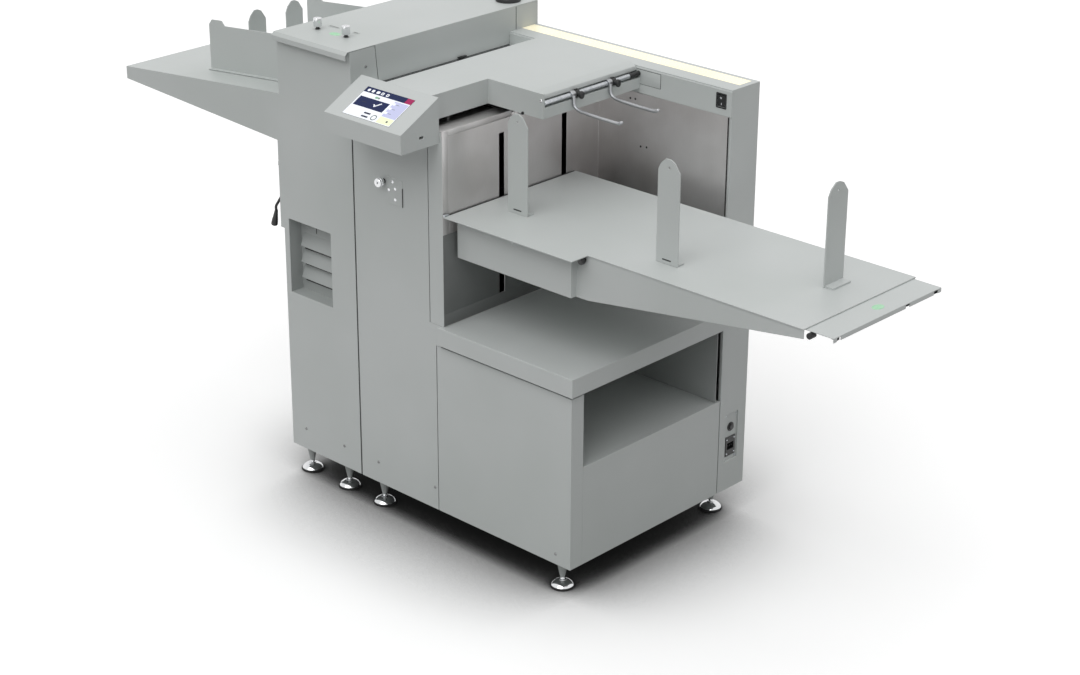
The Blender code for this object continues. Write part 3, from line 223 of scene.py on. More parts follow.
def makeOpal():
    # cast opal acrylic over a low lamp: cream white, lit from inside, even to the edge
    material = finishMaterial("opalAcrylic", opal["colours"], (0.25, 0.35), 4.0, 0.000004,
                              cloud=90, IOR=1.49, Emission_Strength=opal["glow"])
    shader = material.node_tree.nodes["Principled BSDF"]
    shader.inputs["Emission Color"].default_value = linear(opal["light"])
    return material


finishes["diffuser"] = makeOpal()


# every CAD node takes its finish, and its edges are folded or deburred as real ones are
softening = {
    "weld": 0.00001,  # metres
    "flat": 1,  # degrees, faces closer to flat than this are joined
    "edge": 0.0008,  # bend or deburr radius in metres
    "edgeOf": {"worktop": 0.0016, "base_plate": 0.001, "front_finger": 0.0003, "rear_finger": 0.0003,
               "front_finger_collar": 0.0004, "rear_finger_collar": 0.0004, "touch_screen": 0.0003,
               "mains_inlet": 0.0004, "power_rocker": 0.0006, "light_diffuser": 0.0005},
    "segments": 2,
    "sharp": 30,  # degrees
    "normalWeight": 60,
}


def softenNode(name, node):
    node.modifiers.new("weld", "WELD").merge_threshold = softening["weld"]
    flat = node.modifiers.new("flat", "DECIMATE")
    flat.decimate_type = "DISSOLVE"
    flat.angle_limit = math.radians(softening["flat"])
    edge = node.modifiers.new("edge", "BEVEL")
    edge.width = softening["edgeOf"].get(name, softening["edge"])
    edge.segments = softening["segments"]
    edge.limit_method = "ANGLE"
    edge.angle_limit = math.radians(softening["sharp"])
    node.modifiers.new("even", "WEIGHTED_NORMAL").weight = softening["normalWeight"]


for name, node in cadNodes.items():
    for slot in node.material_slots:
        slot.material = finishes[slot.material.name.split(".")[0]]
    softenNode(name, node)
print("frame painted", len(cadNodes))


# shape helpers, all add to an open mesh
def pointing(centre, along=(0, 0, 1), turn=0.0):
    facing = Vector(along).to_track_quat("Z", "Y").to_matrix().to_4x4()
    return Matrix.Translation(Vector(centre)) @ facing @ Matrix.Rotation(turn, 4, "Z")


def addTurned(mesh, profile, at, steps=32, paint=0, ring=False, oval=1.0):
    # profile of (radius, height) pairs, from the axis out and back, or a closed ring
    rings = []
    for radius, height in profile:
        if radius == 0:
            rings.append([mesh.verts.new(at @ Vector((0, 0, height)))])
            continue
        angles = [math.tau * k / steps for k in range(steps)]
        circle = [(radius * math.cos(a), radius * math.sin(a) * oval, height) for a in angles]
        rings.append([mesh.verts.new(at @ Vector(point)) for point in circle])
    pairs = list(zip(rings, rings[1:] + ([rings[0]] if ring else [])))
    for lower, upper in pairs:
        for k in range(steps):
            corners = [lower[k % len(lower)], lower[(k + 1) % len(lower)],
                       upper[(k + 1) % len(upper)], upper[k % len(upper)]]
            face = mesh.faces.new(list(dict.fromkeys(corners)))
            face.material_index = paint


def addPrism(mesh, outline, low, high, at=Matrix(), paint=0, edge=0.0):
    # a flat outline in the local XY plane, drawn out along local Z
    bottom = [mesh.verts.new(at @ Vector((x, y, low))) for x, y in outline]
    top = [mesh.verts.new(at @ Vector((x, y, high))) for x, y in outline]
    count = len(outline)
    faces = [mesh.faces.new(bottom[::-1]), mesh.faces.new(top)]
    faces += [mesh.faces.new((bottom[k], bottom[(k + 1) % count], top[(k + 1) % count], top[k]))
              for k in range(count)]
    for face in faces:
        face.material_index = paint
    if edge:
        edges = list(dict.fromkeys(line for face in faces for line in face.edges))
        bmesh.ops.bevel(mesh, geom=edges, offset=edge, segments=2, profile=0.5, affect="EDGES",
                        clamp_overlap=True)


def boxOutline(left, right, low, high):
    return [(left, low), (right, low), (right, high), (left, high)]


def roundOutline(wide, high, radius, steps=6):
    points = []
    for k, (sx, sy) in enumerate(((1, 1), (-1, 1), (-1, -1), (1, -1))):
        for n in range(steps + 1):
            angle = math.pi / 2 * (k + n / steps)
            points.append((sx * (wide / 2 - radius) + radius * math.cos(angle),
                           sy * (high / 2 - radius) + radius * math.sin(angle)))
    return points


def addBox(mesh, low, high, edge=0.0005, paint=0):
    addPrism(mesh, boxOutline(low[0], high[0], low[1], high[1]), low[2], high[2], paint=paint, edge=edge)


def smoothPath(points, steps):
    # a Catmull-Rom curve through the points
    points = [Vector(p) for p in points]
    ends = [points[0] * 2 - points[1]] + points + [points[-1] * 2 - points[-2]]
    path = []
    for a, b, c, d in zip(ends, ends[1:], ends[2:], ends[3:]):
        for k in range(steps):
            t = k / steps
            path.append(0.5 * (2 * b + (c - a) * t + (2 * a - 5 * b + 4 * c - d) * t * t
                               + (3 * b - a - 3 * c + d) * t ** 3))
    return path + [points[-1]]


def addTube(mesh, path, radii, steps=16, paint=0):
    rings = []
    side = None
    for k, point in enumerate(path):
        along = (path[min(k + 1, len(path) - 1)] - path[max(k - 1, 0)]).normalized()
        side = side or along.orthogonal()
        side = (side - along * side.dot(along)).normalized()
        other = along.cross(side)
        radius = radii[k] if isinstance(radii, list) else radii
        rings.append([mesh.verts.new(point + (side * math.cos(a) + other * math.sin(a)) * radius)
                      for a in (math.tau * n / steps for n in range(steps))])
    faces = [mesh.faces.new(rings[0][::-1]), mesh.faces.new(rings[-1])]
    for lower, upper in zip(rings, rings[1:]):
        faces += [mesh.faces.new((lower[n], lower[(n + 1) % steps], upper[(n + 1) % steps], upper[n]))
                  for n in range(steps)]
    for face in faces:
        face.material_index = paint


def makePiece(name, mesh, paints, body, stands=(), sharp=32):
    bmesh.ops.recalc_face_normals(mesh, faces=mesh.faces)
    data = bpy.data.meshes.new(name)
    mesh.to_mesh(data)
    mesh.free()
    data.shade_smooth()
    data.set_sharp_from_angle(angle=math.radians(sharp))
    for paint in paints:
        data.materials.append(finishes[paint])
    item = bpy.data.objects.new(name, data)
    bpy.context.scene.collection.objects.link(item)
    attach(item, body)
    if stands:
        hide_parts(*stands)
    return item


# lead beside the tower, shown from end to end, with its gland and its connector
lead = {
    "radius": 0.0035,
    "length": 0.0965,
    "plane": -0.2472,  # y of the whole lead
    "start": (-0.54195, 0.8097),  # x and z of the gland's mouth
    "route": [(0, 0), (0, -0.012), (0, -0.0267), (-0.0039, -0.0445), (-0.0156, -0.0623),
              (-0.0260, -0.0770), (-0.0260, -0.0890)],  # from the start, sideways and down
    "routeSteps": 4,
    "glandTop": 0.861,
    "nut": [(0, 0), (0.0045, 0), (0.0066, -0.002), (0.0066, -0.011), (0.0058, -0.012), (0.0058, -0.014),
            (0.0062, -0.016)],  # radius and height from the gland's top
    "taper": [(0.0056, 0.022), (0.0050, 0.012), (0.0043, 0.0035), (0.0040, 0.0003),
              (0, 0.0003)],  # strain relief, height from its mouth
    "rib": [(0.0046, 0), (0.0062, 0.0004), (0.0062, 0.0016), (0.0046, 0.002)],
    "ribs": 5, "ribLow": 0.008, "ribPitch": 0.0045,
    "connectorTilt": 14,  # degrees from plumb
    "connectorDrop": 0.0004,
    "connector": [(0, -0.002), (0.0042, -0.002), (0.0048, 0.004), (0.0060, 0.014), (0.0078, 0.026),
                  (0.0086, 0.036), (0.0086, 0.0400), (0.0078, 0.0415), (0.0060, 0.0415),
                  (0.0058, 0.036), (0, 0.036)],
    "sides": 24,
}


def makeLead():
    startX, startZ = lead["start"]
    points = [(startX + dx, lead["plane"], startZ + dz) for dx, dz in lead["route"]]
    path = smoothPath(points, lead["routeSteps"])
    mesh = bmesh.new()
    addTube(mesh, path, lead["radius"])
    gland = bmesh.new()
    at = pointing((startX, lead["plane"], startZ))
    rise = lead["glandTop"] - startZ
    nut = [(radius, rise + height) for radius, height in lead["nut"]]
    addTurned(gland, nut + lead["taper"], at, lead["sides"])
    for k in range(lead["ribs"]):
        foot = lead["ribLow"] + k * lead["ribPitch"]
        rib = [(radius, foot + height) for radius, height in lead["rib"]]
        addTurned(gland, rib, at, lead["sides"], ring=True)
    makePiece("leadGlandRubber", gland, ["black_rubber"], "chassis", ["lead_gland"])
    plug = bmesh.new()
    tilt = math.radians(lead["connectorTilt"])
    down = Vector((-math.sin(tilt), 0, -math.cos(tilt)))
    top = path[-1] + Vector((0, 0, -lead["connectorDrop"]))
    addTurned(plug, lead["connector"], pointing(top, down), lead["sides"])
    connector = makePiece("leadConnectorBlack", plug, ["black_plastic"], "chassis",
                          ["lead_connector"])
    item = makePiece("hangingLeadRubber", mesh, ["black_rubber"], "chassis",
                     ["hanging_lead"])


makeLead()
print("lead ready")


# levelling feet: rubber pad, chrome dome, threaded stem
foot = {
    # pairs of radius and height
    "pad": [(0, 0), (0.0290, 0), (0.0298, 0.0008), (0.0298, 0.0040), (0.0290, 0.0048), (0, 0.0048)],
    "dome": [(0, 0.0048), (0.0274, 0.0048), (0.0279, 0.0060), (0.0262, 0.0088), (0.0222, 0.0125),
             (0.0168, 0.0158), (0.0120, 0.0176), (0.0098, 0.0182), (0.0095, 0.0200), (0.0080, 0.0206)],
    "stemRadius": 0.0060,
    "stemLow": 0.0206,
    "threadPitch": 0.0018,
    "threadDepth": 0.0005,
    "sides": 40,
}


def makeFeet():
    for name in [n for n in cadNodes if n.startswith("foot_")]:
        low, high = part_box(name)
        rise, root = high.z - low.z, foot["stemRadius"] - foot["threadDepth"]
        stem = []
        for k in range(int((rise - foot["stemLow"]) / foot["threadPitch"])):
            z = foot["stemLow"] + k * foot["threadPitch"]
            stem += [(root, z), (foot["stemRadius"], z + foot["threadPitch"] / 2)]
        stem += [(root, rise), (0, rise)]
        at = pointing(((low.x + high.x) / 2, (low.y + high.y) / 2, low.z))
        mesh = bmesh.new()
        addTurned(mesh, foot["pad"], at, foot["sides"], paint=1)
        addTurned(mesh, foot["dome"] + stem, at, foot["sides"])
        makePiece(name + "Chrome", mesh, ["chrome", "black_rubber"], "chassis", [name])


makeFeet()


# two chrome knobs that hold the lid
lidKnob = {
    "radius": 0.0105,
    "height": 0.0280,
    "neck": 0.0070,
    "collar": [(0, 0), (0.0062, 0), (0.0065, 0.0004), (0.0065, 0.0014), (0.0048, 0.0020),
               (0.0045, 0.0030)],  # radius and height
    "collarNeck": 0.0045,
    "foot": [(0.0012, 0), (0.0004, 0.0006), (0, 0.0014)],  # in from the radius and up from the neck
    "groove": [(0, 0.0052), (0.0005, 0.0048), (0.0005, 0.0040), (0, 0.0036)],  # in, and down from the top
    "crown": [(0, 0.0010), (0.0010, 0)],
    "dish": [(0.0032, 0), (0.0026, 0.0006), (0, 0.0006)],  # radius, and down from the top
    "sides": 48,
}


def makeLidKnobs():
    top, neck, radius = lidKnob["height"], lidKnob["neck"], lidKnob["radius"]
    collarNeck = lidKnob["collarNeck"]
    body = [(0, neck)] + [(radius - inward, neck + rise) for inward, rise in lidKnob["foot"]]
    body += [(radius - inward, top - drop) for inward, drop in lidKnob["groove"] + lidKnob["crown"]]
    body += [(dish, top - drop) for dish, drop in lidKnob["dish"]]
    for side in ("left", "right"):
        name = "lid_knob_" + side
        low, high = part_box(name)
        at = pointing(((low.x + high.x) / 2, (low.y + high.y) / 2, low.z))
        mesh = bmesh.new()
        addTurned(mesh, lidKnob["collar"] + [(collarNeck, neck), (0, neck)], at, paint=1)
        addTurned(mesh, body, at, lidKnob["sides"])
        makePiece("lidKnob" + side.title(), mesh, ["chrome", "black_plastic"], name, [name])


# air knob on the front, in steps from the panel out
airKnob = {
    "radius": 0.0115,
    "stem": [(0, 0), (0.0062, 0), (0.0062, 0.0050), (0, 0.0050)],  # radius and height
    "nut": [(0, 0.0050), (0.0078, 0.0050), (0.0084, 0.0056), (0.0084, 0.0086), (0.0078, 0.0092),
            (0, 0.0092)],
    "skirtFoot": [(0.0008, 0.0092), (0, 0.0100)],  # in from the radius, and height
    "skirtTop": [(0, 0.0064), (0.0008, 0.0058)],  # in from the radius, and down from the end
    "cap": [(0.0010, 0.0058), (0.0002, 0.0050), (0.0002, 0.0012), (0.0014, 0)],
    "dish": [(0.0034, 0), (0.0028, 0.0012), (0, 0.0012)],  # radius, and down from the end
    "mark": [(0, 0.0012), (0.0018, 0.0012), (0.0018, 0.0008), (0, 0.0008)],
    "markSides": 16,
}


def makeAirKnob():
    low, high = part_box("air_knob")
    at = pointing(((low.x + high.x) / 2, high.y, (low.z + high.z) / 2), (0, -1, 0))
    long, radius = high.y - low.y, airKnob["radius"]
    skirt = [(radius - inward, height) for inward, height in airKnob["skirtFoot"]]
    skirt += [(radius - inward, long - drop) for inward, drop in airKnob["skirtTop"]]
    cap = [(radius - inward, long - drop) for inward, drop in airKnob["cap"]]
    dish, mark = [[(out, long - drop) for out, drop in airKnob[part]] for part in ("dish", "mark")]
    mesh = bmesh.new()
    addTurned(mesh, airKnob["stem"], at, paint=1)
    addTurned(mesh, airKnob["nut"], at)
    addTurned(mesh, [(0, skirt[0][1])] + skirt + [(0, skirt[-1][1])], at)
    addTurned(mesh, [(0, cap[0][1])] + cap + dish, at)
    addTurned(mesh, mark, at, airKnob["markSides"], paint=1)
    makePiece("airKnobChrome", mesh, ["chrome", "black_plastic"], "air_knob", ["air_knob"])


makeLidKnobs()
makeAirKnob()


# rod on the feed head, with two clamp collars and two wire fingers that swing on it
rod = {
    "x": 0.18705,
    "z": 1.1285,
    "radius": 0.0060,
    "low": -0.0554,
    "high": 0.2812,
    "sleeve": 0.2430,  # the black end starts here
    "sleeveProud": 0.0001, "sleeveCut": 0.0004, "sleeveShort": 0.0002,
    "chamfer": 0.0008,
    "lip": [(0.1762, 1.1446), (0.1776, 1.1446), (0.1802, 1.1352), (0.1794, 1.1350)],  # x and z
    "lipEdge": 0.0002,
    "sides": 40,
}
collar = {
    "bore": 0.0063,
    "outer": 0.0095,
    "wide": 0.0140,
    "inset": 0.0050,  # from the solid's front
    "boreCut": 0.0004, "outerCut": 0.0006,
    "armRootShare": 0.3,  # of the ring's wall
    "armReach": 0.0080, "armInset": 0.0008, "armHalf": 0.0046, "armEdge": 0.0010,
    "padHalf": 0.0022, "padInset": 0.0020, "padSink": 0.0012, "padRise": 0.0020, "padEdge": 0.0008,
    "gripStart": 0.0040,
    "grip": [(0, 0), (0.0045, 0), (0.0080, 0.0012), (0.0094, 0.0030), (0.0096, 0.0060)],
    "gripEnd": (0.0088, 0.0070),  # radius before and after its last chamfer
    "gripCut": 0.0012,
    "gripOval": 0.8,
}
finger = {
    "eye": 0.0093,
    "eyeCut": 0.0005,
    "wire": 0.0042,
    "wireInset": 0.0010,
    "bends": [(0.0078, 0), (0.0080, -0.0100), (0.0086, -0.0190), (0.0125, -0.0275), (0.0240, -0.0335),
              (0.0430, -0.0360), (0.0900, -0.0378), (0.1380, -0.0380), (0.1520, -0.0366),
              (0.1610, -0.0310)],  # x and z from the rod
    "bendSteps": 6,
    "tipShares": (0.95, 0.8, 0.45),  # of the wire's radius, to its rounded end
}


def ringProfile(bore, outer, deep, boreCut, outerCut):
    return [(bore, boreCut), (bore + boreCut, 0), (outer - outerCut, 0), (outer, outerCut),
            (outer, deep - outerCut), (outer - outerCut, deep), (bore + boreCut, deep),
            (bore, deep - boreCut)]


def makeRod():
    low, sleeve, high, radius = rod["low"], rod["sleeve"], rod["high"], rod["radius"]
    at = pointing((rod["x"], 0, rod["z"]), (0, 1, 0))
    mesh = bmesh.new()
    addTurned(mesh, [(0, low), (radius - rod["chamfer"], low), (radius, low + rod["chamfer"]),
                     (radius, sleeve), (0, sleeve)], at, rod["sides"])
    thick = radius + rod["sleeveProud"]
    end = high - rod["sleeveShort"]
    addTurned(mesh, [(0, sleeve), (radius, sleeve), (thick, sleeve + rod["sleeveCut"]), (thick, end),
                     (0, end)], at, rod["sides"], paint=1)
    makePiece("headRodPlated", mesh, ["zinc", "black_plastic"], "chassis", ["bridge_rod"])
    mesh = bmesh.new()  # folded edge of the head above the rod
    addPrism(mesh, rod["lip"], -high, -low, Matrix.Rotation(math.pi / 2, 4, "X"), edge=rod["lipEdge"])
    makePiece("headFoldedEdge", mesh, ["panel_paint"], "chassis")


def makeCollar(end):
    x, z, bore, outer, wide = rod["x"], rod["z"], collar["bore"], collar["outer"], collar["wide"]
    low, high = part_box(end + "_finger_collar")
    start = low.y + collar["inset"]
    mesh = bmesh.new()
    addTurned(mesh, ringProfile(bore, outer, wide, collar["boreCut"], collar["outerCut"]),
              pointing((x, start, z), (0, 1, 0)), ring=True)
    root = x + bore + (outer - bore) * collar["armRootShare"]
    addBox(mesh, (root, start + collar["armInset"], z - collar["armHalf"]),
           (x + outer + collar["armReach"], start + wide - collar["armInset"], z + collar["armHalf"]),
           collar["armEdge"])
    addBox(mesh, (x - collar["padHalf"], start + collar["padInset"], z + outer - collar["padSink"]),
           (x + collar["padHalf"], start + wide - collar["padInset"], z + outer + collar["padRise"]),
           collar["padEdge"])
    gripX = x + outer + collar["gripStart"]
    reach = high.x - gripX
    before, after = collar["gripEnd"]
    grip = collar["grip"] + [(before, reach - collar["gripCut"]), (after, reach), (0, reach)]
    addTurned(mesh, grip, pointing((gripX, start + wide / 2, z), (1, 0, 0), math.pi / 2),
              oval=collar["gripOval"])
    makePiece(end + "FingerCollar", mesh, ["black_plastic"], "collar_" + end,
              [end + "_finger_collar"])


def makeFinger(end):
    x, z, wire = rod["x"], rod["z"], finger["wire"]
    low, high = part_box(end + "_finger")
    mesh = bmesh.new()
    cut = finger["eyeCut"]
    addTurned(mesh, ringProfile(collar["bore"], finger["eye"], high.y - low.y, cut, cut),
              pointing((x, low.y, z), (0, 1, 0)), ring=True)
    middle = low.y + wire + finger["wireInset"]
    path = smoothPath([(x + dx, middle, z + dz) for dx, dz in finger["bends"]], finger["bendSteps"])
    radii = [wire] * (len(path) - len(finger["tipShares"])) + [wire * s for s in finger["tipShares"]]
    addTube(mesh, path, radii)
    makePiece(end + "FingerWire", mesh, ["aluminium"], "finger_" + end,
              [end + "_finger"])


makeRod()
for end in ("front", "rear"):
    makeCollar(end)
    makeFinger(end)
print("feet, knobs and fingers ready")


# suction drum with its grooves and rows of holes, each hole a black disc that is painted shade
drum = {
    "front": -0.0187, "back": 0.2438,
    "axle": 0.0060,
    "chamfer": 0.0015,
    "bands": 5,
    "groove": 0.0010,
    "holeRows": 12,
    "holePitch": 0.0140,
    "holeRadius": 0.0030,
    "holeStart": 0.012,  # from the front
    "holeSpare": 0.020,  # length left without holes
    "holeSink": 0.0008, "holeHigh": 0.0009, "holeSides": 12,
    "sides": 48,
}


def makeDrum():
    low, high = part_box("suction_drum")
    x, z = (low.x + high.x) / 2, (low.z + high.z) / 2
    radius = (high.x - low.x) / 2
    front, back, axle, groove, cut = [drum[k] for k in ("front", "back", "axle", "groove", "chamfer")]
    mesh = bmesh.new()
    profile = [(0, low.y), (axle, low.y), (axle, front), (radius - cut, front), (radius, front + cut)]
    for k in range(1, drum["bands"]):
        y = front + (back - front) * k / drum["bands"]
        profile += [(radius, y - cut), (radius - groove, y - groove), (radius - groove, y + groove),
                    (radius, y + cut)]
    profile += [(radius, back - cut), (radius - cut, back), (axle, back), (axle, high.y), (0, high.y)]
    addTurned(mesh, profile, pointing((x, 0, z), (0, 1, 0)), drum["sides"])
    hole, thick = drum["holeRadius"], drum["holeHigh"]
    for row in range(drum["holeRows"]):
        angle = math.tau * row / drum["holeRows"]
        out = Vector((math.cos(angle), 0, math.sin(angle)))
        for k in range(int((back - front - drum["holeSpare"]) / drum["holePitch"])):
            y = front + drum["holeStart"] + (k + (row % 2) / 2) * drum["holePitch"]
            spot = Vector((x, y, z)) + out * (radius - drum["holeSink"])
            # black disc for each hole: painted shade
            addTurned(mesh, [(0, 0), (hole, 0), (hole, thick), (0, thick)], pointing(spot, out),
                      drum["holeSides"], paint=1)
    makePiece("suctionDrumTurned", mesh, ["aluminium", "black_rubber"], "drum",
              ["suction_drum"])


# lift screw with its rolled thread
liftScrew = {
    "pitch": 0.0060,
    "depth": 0.0012,
    "sides": 16,
    "perTurn": 4,  # rings of points in each turn
    "sharp": 80,  # degrees
}


def makeLiftScrew():
    low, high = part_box("lift_screw")
    x, y = (low.x + high.x) / 2, (low.y + high.y) / 2
    radius = (high.x - low.x) / 2
    pitch, depth, sides = liftScrew["pitch"], liftScrew["depth"], liftScrew["sides"]
    mesh = bmesh.new()
    rings = []
    count = round((high.z - low.z) / pitch * liftScrew["perTurn"])
    for k in range(count + 1):
        height = low.z + (high.z - low.z) * k / count
        ring = []
        for n in range(sides):
            phase = (height / pitch - n / sides) % 1
            out = radius - depth * (1 - abs(2 * phase - 1))
            angle = math.tau * n / sides
            ring.append(mesh.verts.new((x + out * math.cos(angle), y + out * math.sin(angle), height)))
        rings.append(ring)
    mesh.faces.new(rings[0][::-1])
    mesh.faces.new(rings[-1])
    for lower, upper in zip(rings, rings[1:]):
        for n in range(sides):
            m = (n + 1) % sides
            mesh.faces.new((lower[n], lower[m], upper[m], upper[n]))
    makePiece("liftScrewThreaded", mesh, ["machined_steel"], "screw", ["lift_screw"],
              liftScrew["sharp"])


makeDrum()
makeLiftScrew()


# rollers: a ground shaft with rubber sleeves
roller = {
    "of": {"exit_roller": ("exit_roll", 6), "infeed_roller_lower": ("infeed_lower", 5),
           "infeed_roller_upper": ("infeed_upper", 5)},  # body and count of sleeves
    "shaftShare": 0.62,  # of the roller's radius
    "journal": 0.0050,
    "journalLong": 0.004,
    "shoulder": 0.005,  # where the full shaft starts
    "first": -0.1500, "last": 0.2550,  # y of the row of sleeves
    "sleeveShares": (0.12, 0.88),  # start and end in each sleeve's stretch
    "sleeveEdge": 0.0010,
}


def makeRollers():
    for name, (body, sleeves) in roller["of"].items():
        low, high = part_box(name)
        radius = (high.x - low.x) / 2
        shaft, journal, edge = radius * roller["shaftShare"], roller["journal"], roller["sleeveEdge"]
        at = pointing(((low.x + high.x) / 2, 0, (low.z + high.z) / 2), (0, 1, 0))
        mesh = bmesh.new()
        addTurned(mesh, [(0, low.y), (journal, low.y), (journal, low.y + roller["journalLong"]),
                         (shaft, low.y + roller["shoulder"]), (shaft, high.y - roller["shoulder"]),
                         (journal, high.y - roller["journalLong"]), (journal, high.y), (0, high.y)], at)
        step = (roller["last"] - roller["first"]) / sleeves
        for k in range(sleeves):
            start, end = [roller["first"] + step * (k + share) for share in roller["sleeveShares"]]
            addTurned(mesh, [(shaft, start), (radius - edge, start), (radius, start + edge),
                             (radius, end - edge), (radius - edge, end), (shaft, end)], at,
                      paint=1, ring=True)
        makePiece(name.title().replace("_", "") + "Rubber", mesh, ["machined_steel", "black_rubber"],
                  body, [name])


makeRollers()
print("drum, screw and rollers ready")


# picture on the display: a generic machine menu in flat inks of light
screen = {
    "corner": (-0.1603, -0.3746, 1.1039),  # lower left of the glass
    "size": (0.160, 0.0960),
    "rise": (0, 0.8877, 0.4605),
    "inks": {"white": "#F3F7FC", "navy": "#14224E", "magenta": "#A2255A", "lavender": "#C3C6E6",
             "lime": "#EEF3CF", "slate": "#2A2F45", "ring": "#77807F", "mint": "#8FB59B"},
    "glow": 0.28,
    "dot": 1.2,  # mm
    "dotShade": 0.9,
    "film": 0.00012,  # each layer stands this proud of the last
    # ink, then left, right, low and high as shares of the glass, layer, corner as a share
    "patches": [
        ("white", 0.003, 0.997, 0.003, 0.997, 1, 0),
        ("navy", 0.003, 0.997, 0.82, 0.997, 2, 0),
        ("magenta", 0.862, 0.997, 0.82, 0.997, 3, 0),
        ("white", 0.055, 0.110, 0.855, 0.945, 3, 0.5),  # icons in the title bar
        ("white", 0.145, 0.200, 0.855, 0.945, 3, 0.3),
        ("white", 0.240, 0.315, 0.855, 0.945, 3, 0.5),
        ("white", 0.345, 0.400, 0.855, 0.945, 3, 0.2),
        ("white", 0.450, 0.505, 0.855, 0.945, 3, 0.25),
        ("navy", 0.363, 0.382, 0.88, 0.92, 4, 0),
        ("navy", 0.468, 0.487, 0.88, 0.92, 4, 0),
        ("mint", 0.30, 0.37, 0.70, 0.77, 2, 0.5),
        ("ring", 0.37, 0.40, 0.705, 0.765, 2, 0.3),
        ("navy", 0.035, 0.655, 0.345, 0.665, 2, 0),  # the large tile
        ("slate", 0.14, 0.24, 0.50, 0.52, 3, 0),
        ("lavender", 0.700, 0.985, 0.250, 0.790, 2, 0),
        ("slate", 0.365, 0.500, 0.175, 0.225, 2, 0.3),
        ("slate", 0.365, 0.500, 0.060, 0.110, 2, 0.3),
        ("lime", 0.700, 0.985, 0.025, 0.235, 2, 0),
        ("slate", 0.870, 0.905, 0.095, 0.150, 3, 0.45),
    ],
    # first patch of a row, its step sideways and up, and its count
    "rows": [
        (("white", 0.420, 0.445, 0.440, 0.475, 3, 0), 0.016, 0.026, 6),  # the tick's long stroke
        (("white", 0.395, 0.418, 0.490, 0.525, 3, 0), 0.016, -0.026, 2),  # its short stroke
        (("white", 0.705, 0.752, 0.34, 0.415, 3, 0.2), 0, 0.16, 3),
        (("ring", 0.770, 0.830, 0.37, 0.382, 3, 0), 0, 0.16, 3),
    ],
    "dial": (0.605, 0.130),  # its middle, as shares of the glass
    "dialRadii": (0.0062, 0.0088),
    "cornerSteps": 4,
}


def makeInk(name, colour):
    # light emitting dots behind glass: flat bright colour, dots drawn coarse so that they show
    material = finishMaterial("displayInk" + name.title(), (colour, colour), (0.12, 0.16), screen["dot"],
                              0.000001, cloud=30, IOR=1.5, Specular_IOR_Level=0.15,
                              Emission_Strength=screen["glow"])
    tree = material.node_tree
    shader = tree.nodes["Principled BSDF"]
    shader.inputs["Emission Color"].default_value = linear(colour)
    place = addNode(tree, "ShaderNodeTexCoord").outputs["Object"]
    dots = addNode(tree, "ShaderNodeTexVoronoi", {"Vector": place, "Scale": perSize(screen["dot"])})
    dim = tuple(c * screen["dotShade"] for c in linear(colour)[:3]) + (1.0,)
    tint = addNode(tree, "ShaderNodeMix", {
        "Factor": dots.outputs["Distance"], "A": linear(colour), "B": dim}, data_type="RGBA")
    tree.links.new(tint.outputs["Result"], shader.inputs["Base Color"])
    return material


def addPatch(mesh, at, patch):
    ink, left, right, low, high, layer, corner = patch
    wide, tall = screen["size"]
    patchWide, patchHigh, film = (right - left) * wide, (high - low) * tall, screen["film"]
    middle = Matrix.Translation(((left + right) / 2 * wide, (low + high) / 2 * tall, 0))
    if corner:
        outline = roundOutline(patchWide, patchHigh, corner * min(patchWide, patchHigh),
                               screen["cornerSteps"])
    else:
        outline = boxOutline(-patchWide / 2, patchWide / 2, -patchHigh / 2, patchHigh / 2)
    addPrism(mesh, outline, film * (layer - 1), film * layer, at @ middle,
             paint=list(screen["inks"]).index(ink))


def makeScreen():
    inks = list(screen["inks"])
    for ink in inks:
        finishes["ink" + ink] = makeInk(ink, screen["inks"][ink])
    wide, tall = screen["size"]
    across, rise = Vector((1, 0, 0)), Vector(screen["rise"])
    turned = Matrix((across, rise, across.cross(rise))).transposed().to_4x4()
    at = Matrix.Translation(screen["corner"]) @ turned
    mesh = bmesh.new()
    for patch in screen["patches"]:
        addPatch(mesh, at, patch)
    for (ink, left, right, low, high, layer, corner), aside, up, count in screen["rows"]:
        for k in range(count):
            addPatch(mesh, at, (ink, left + k * aside, right + k * aside, low + k * up, high + k * up,
                                layer, corner))
    inner, outer = screen["dialRadii"]
    dialAt = at @ Matrix.Translation((screen["dial"][0] * wide, screen["dial"][1] * tall, 0))
    proud = screen["film"] * 2
    addTurned(mesh, [(inner, 0), (outer, 0), (outer, proud), (inner, proud)], dialAt,
              paint=inks.index("ring"), ring=True)
    makePiece("displayPicture", mesh, ["ink" + ink for ink in inks], "chassis")


makeScreen()


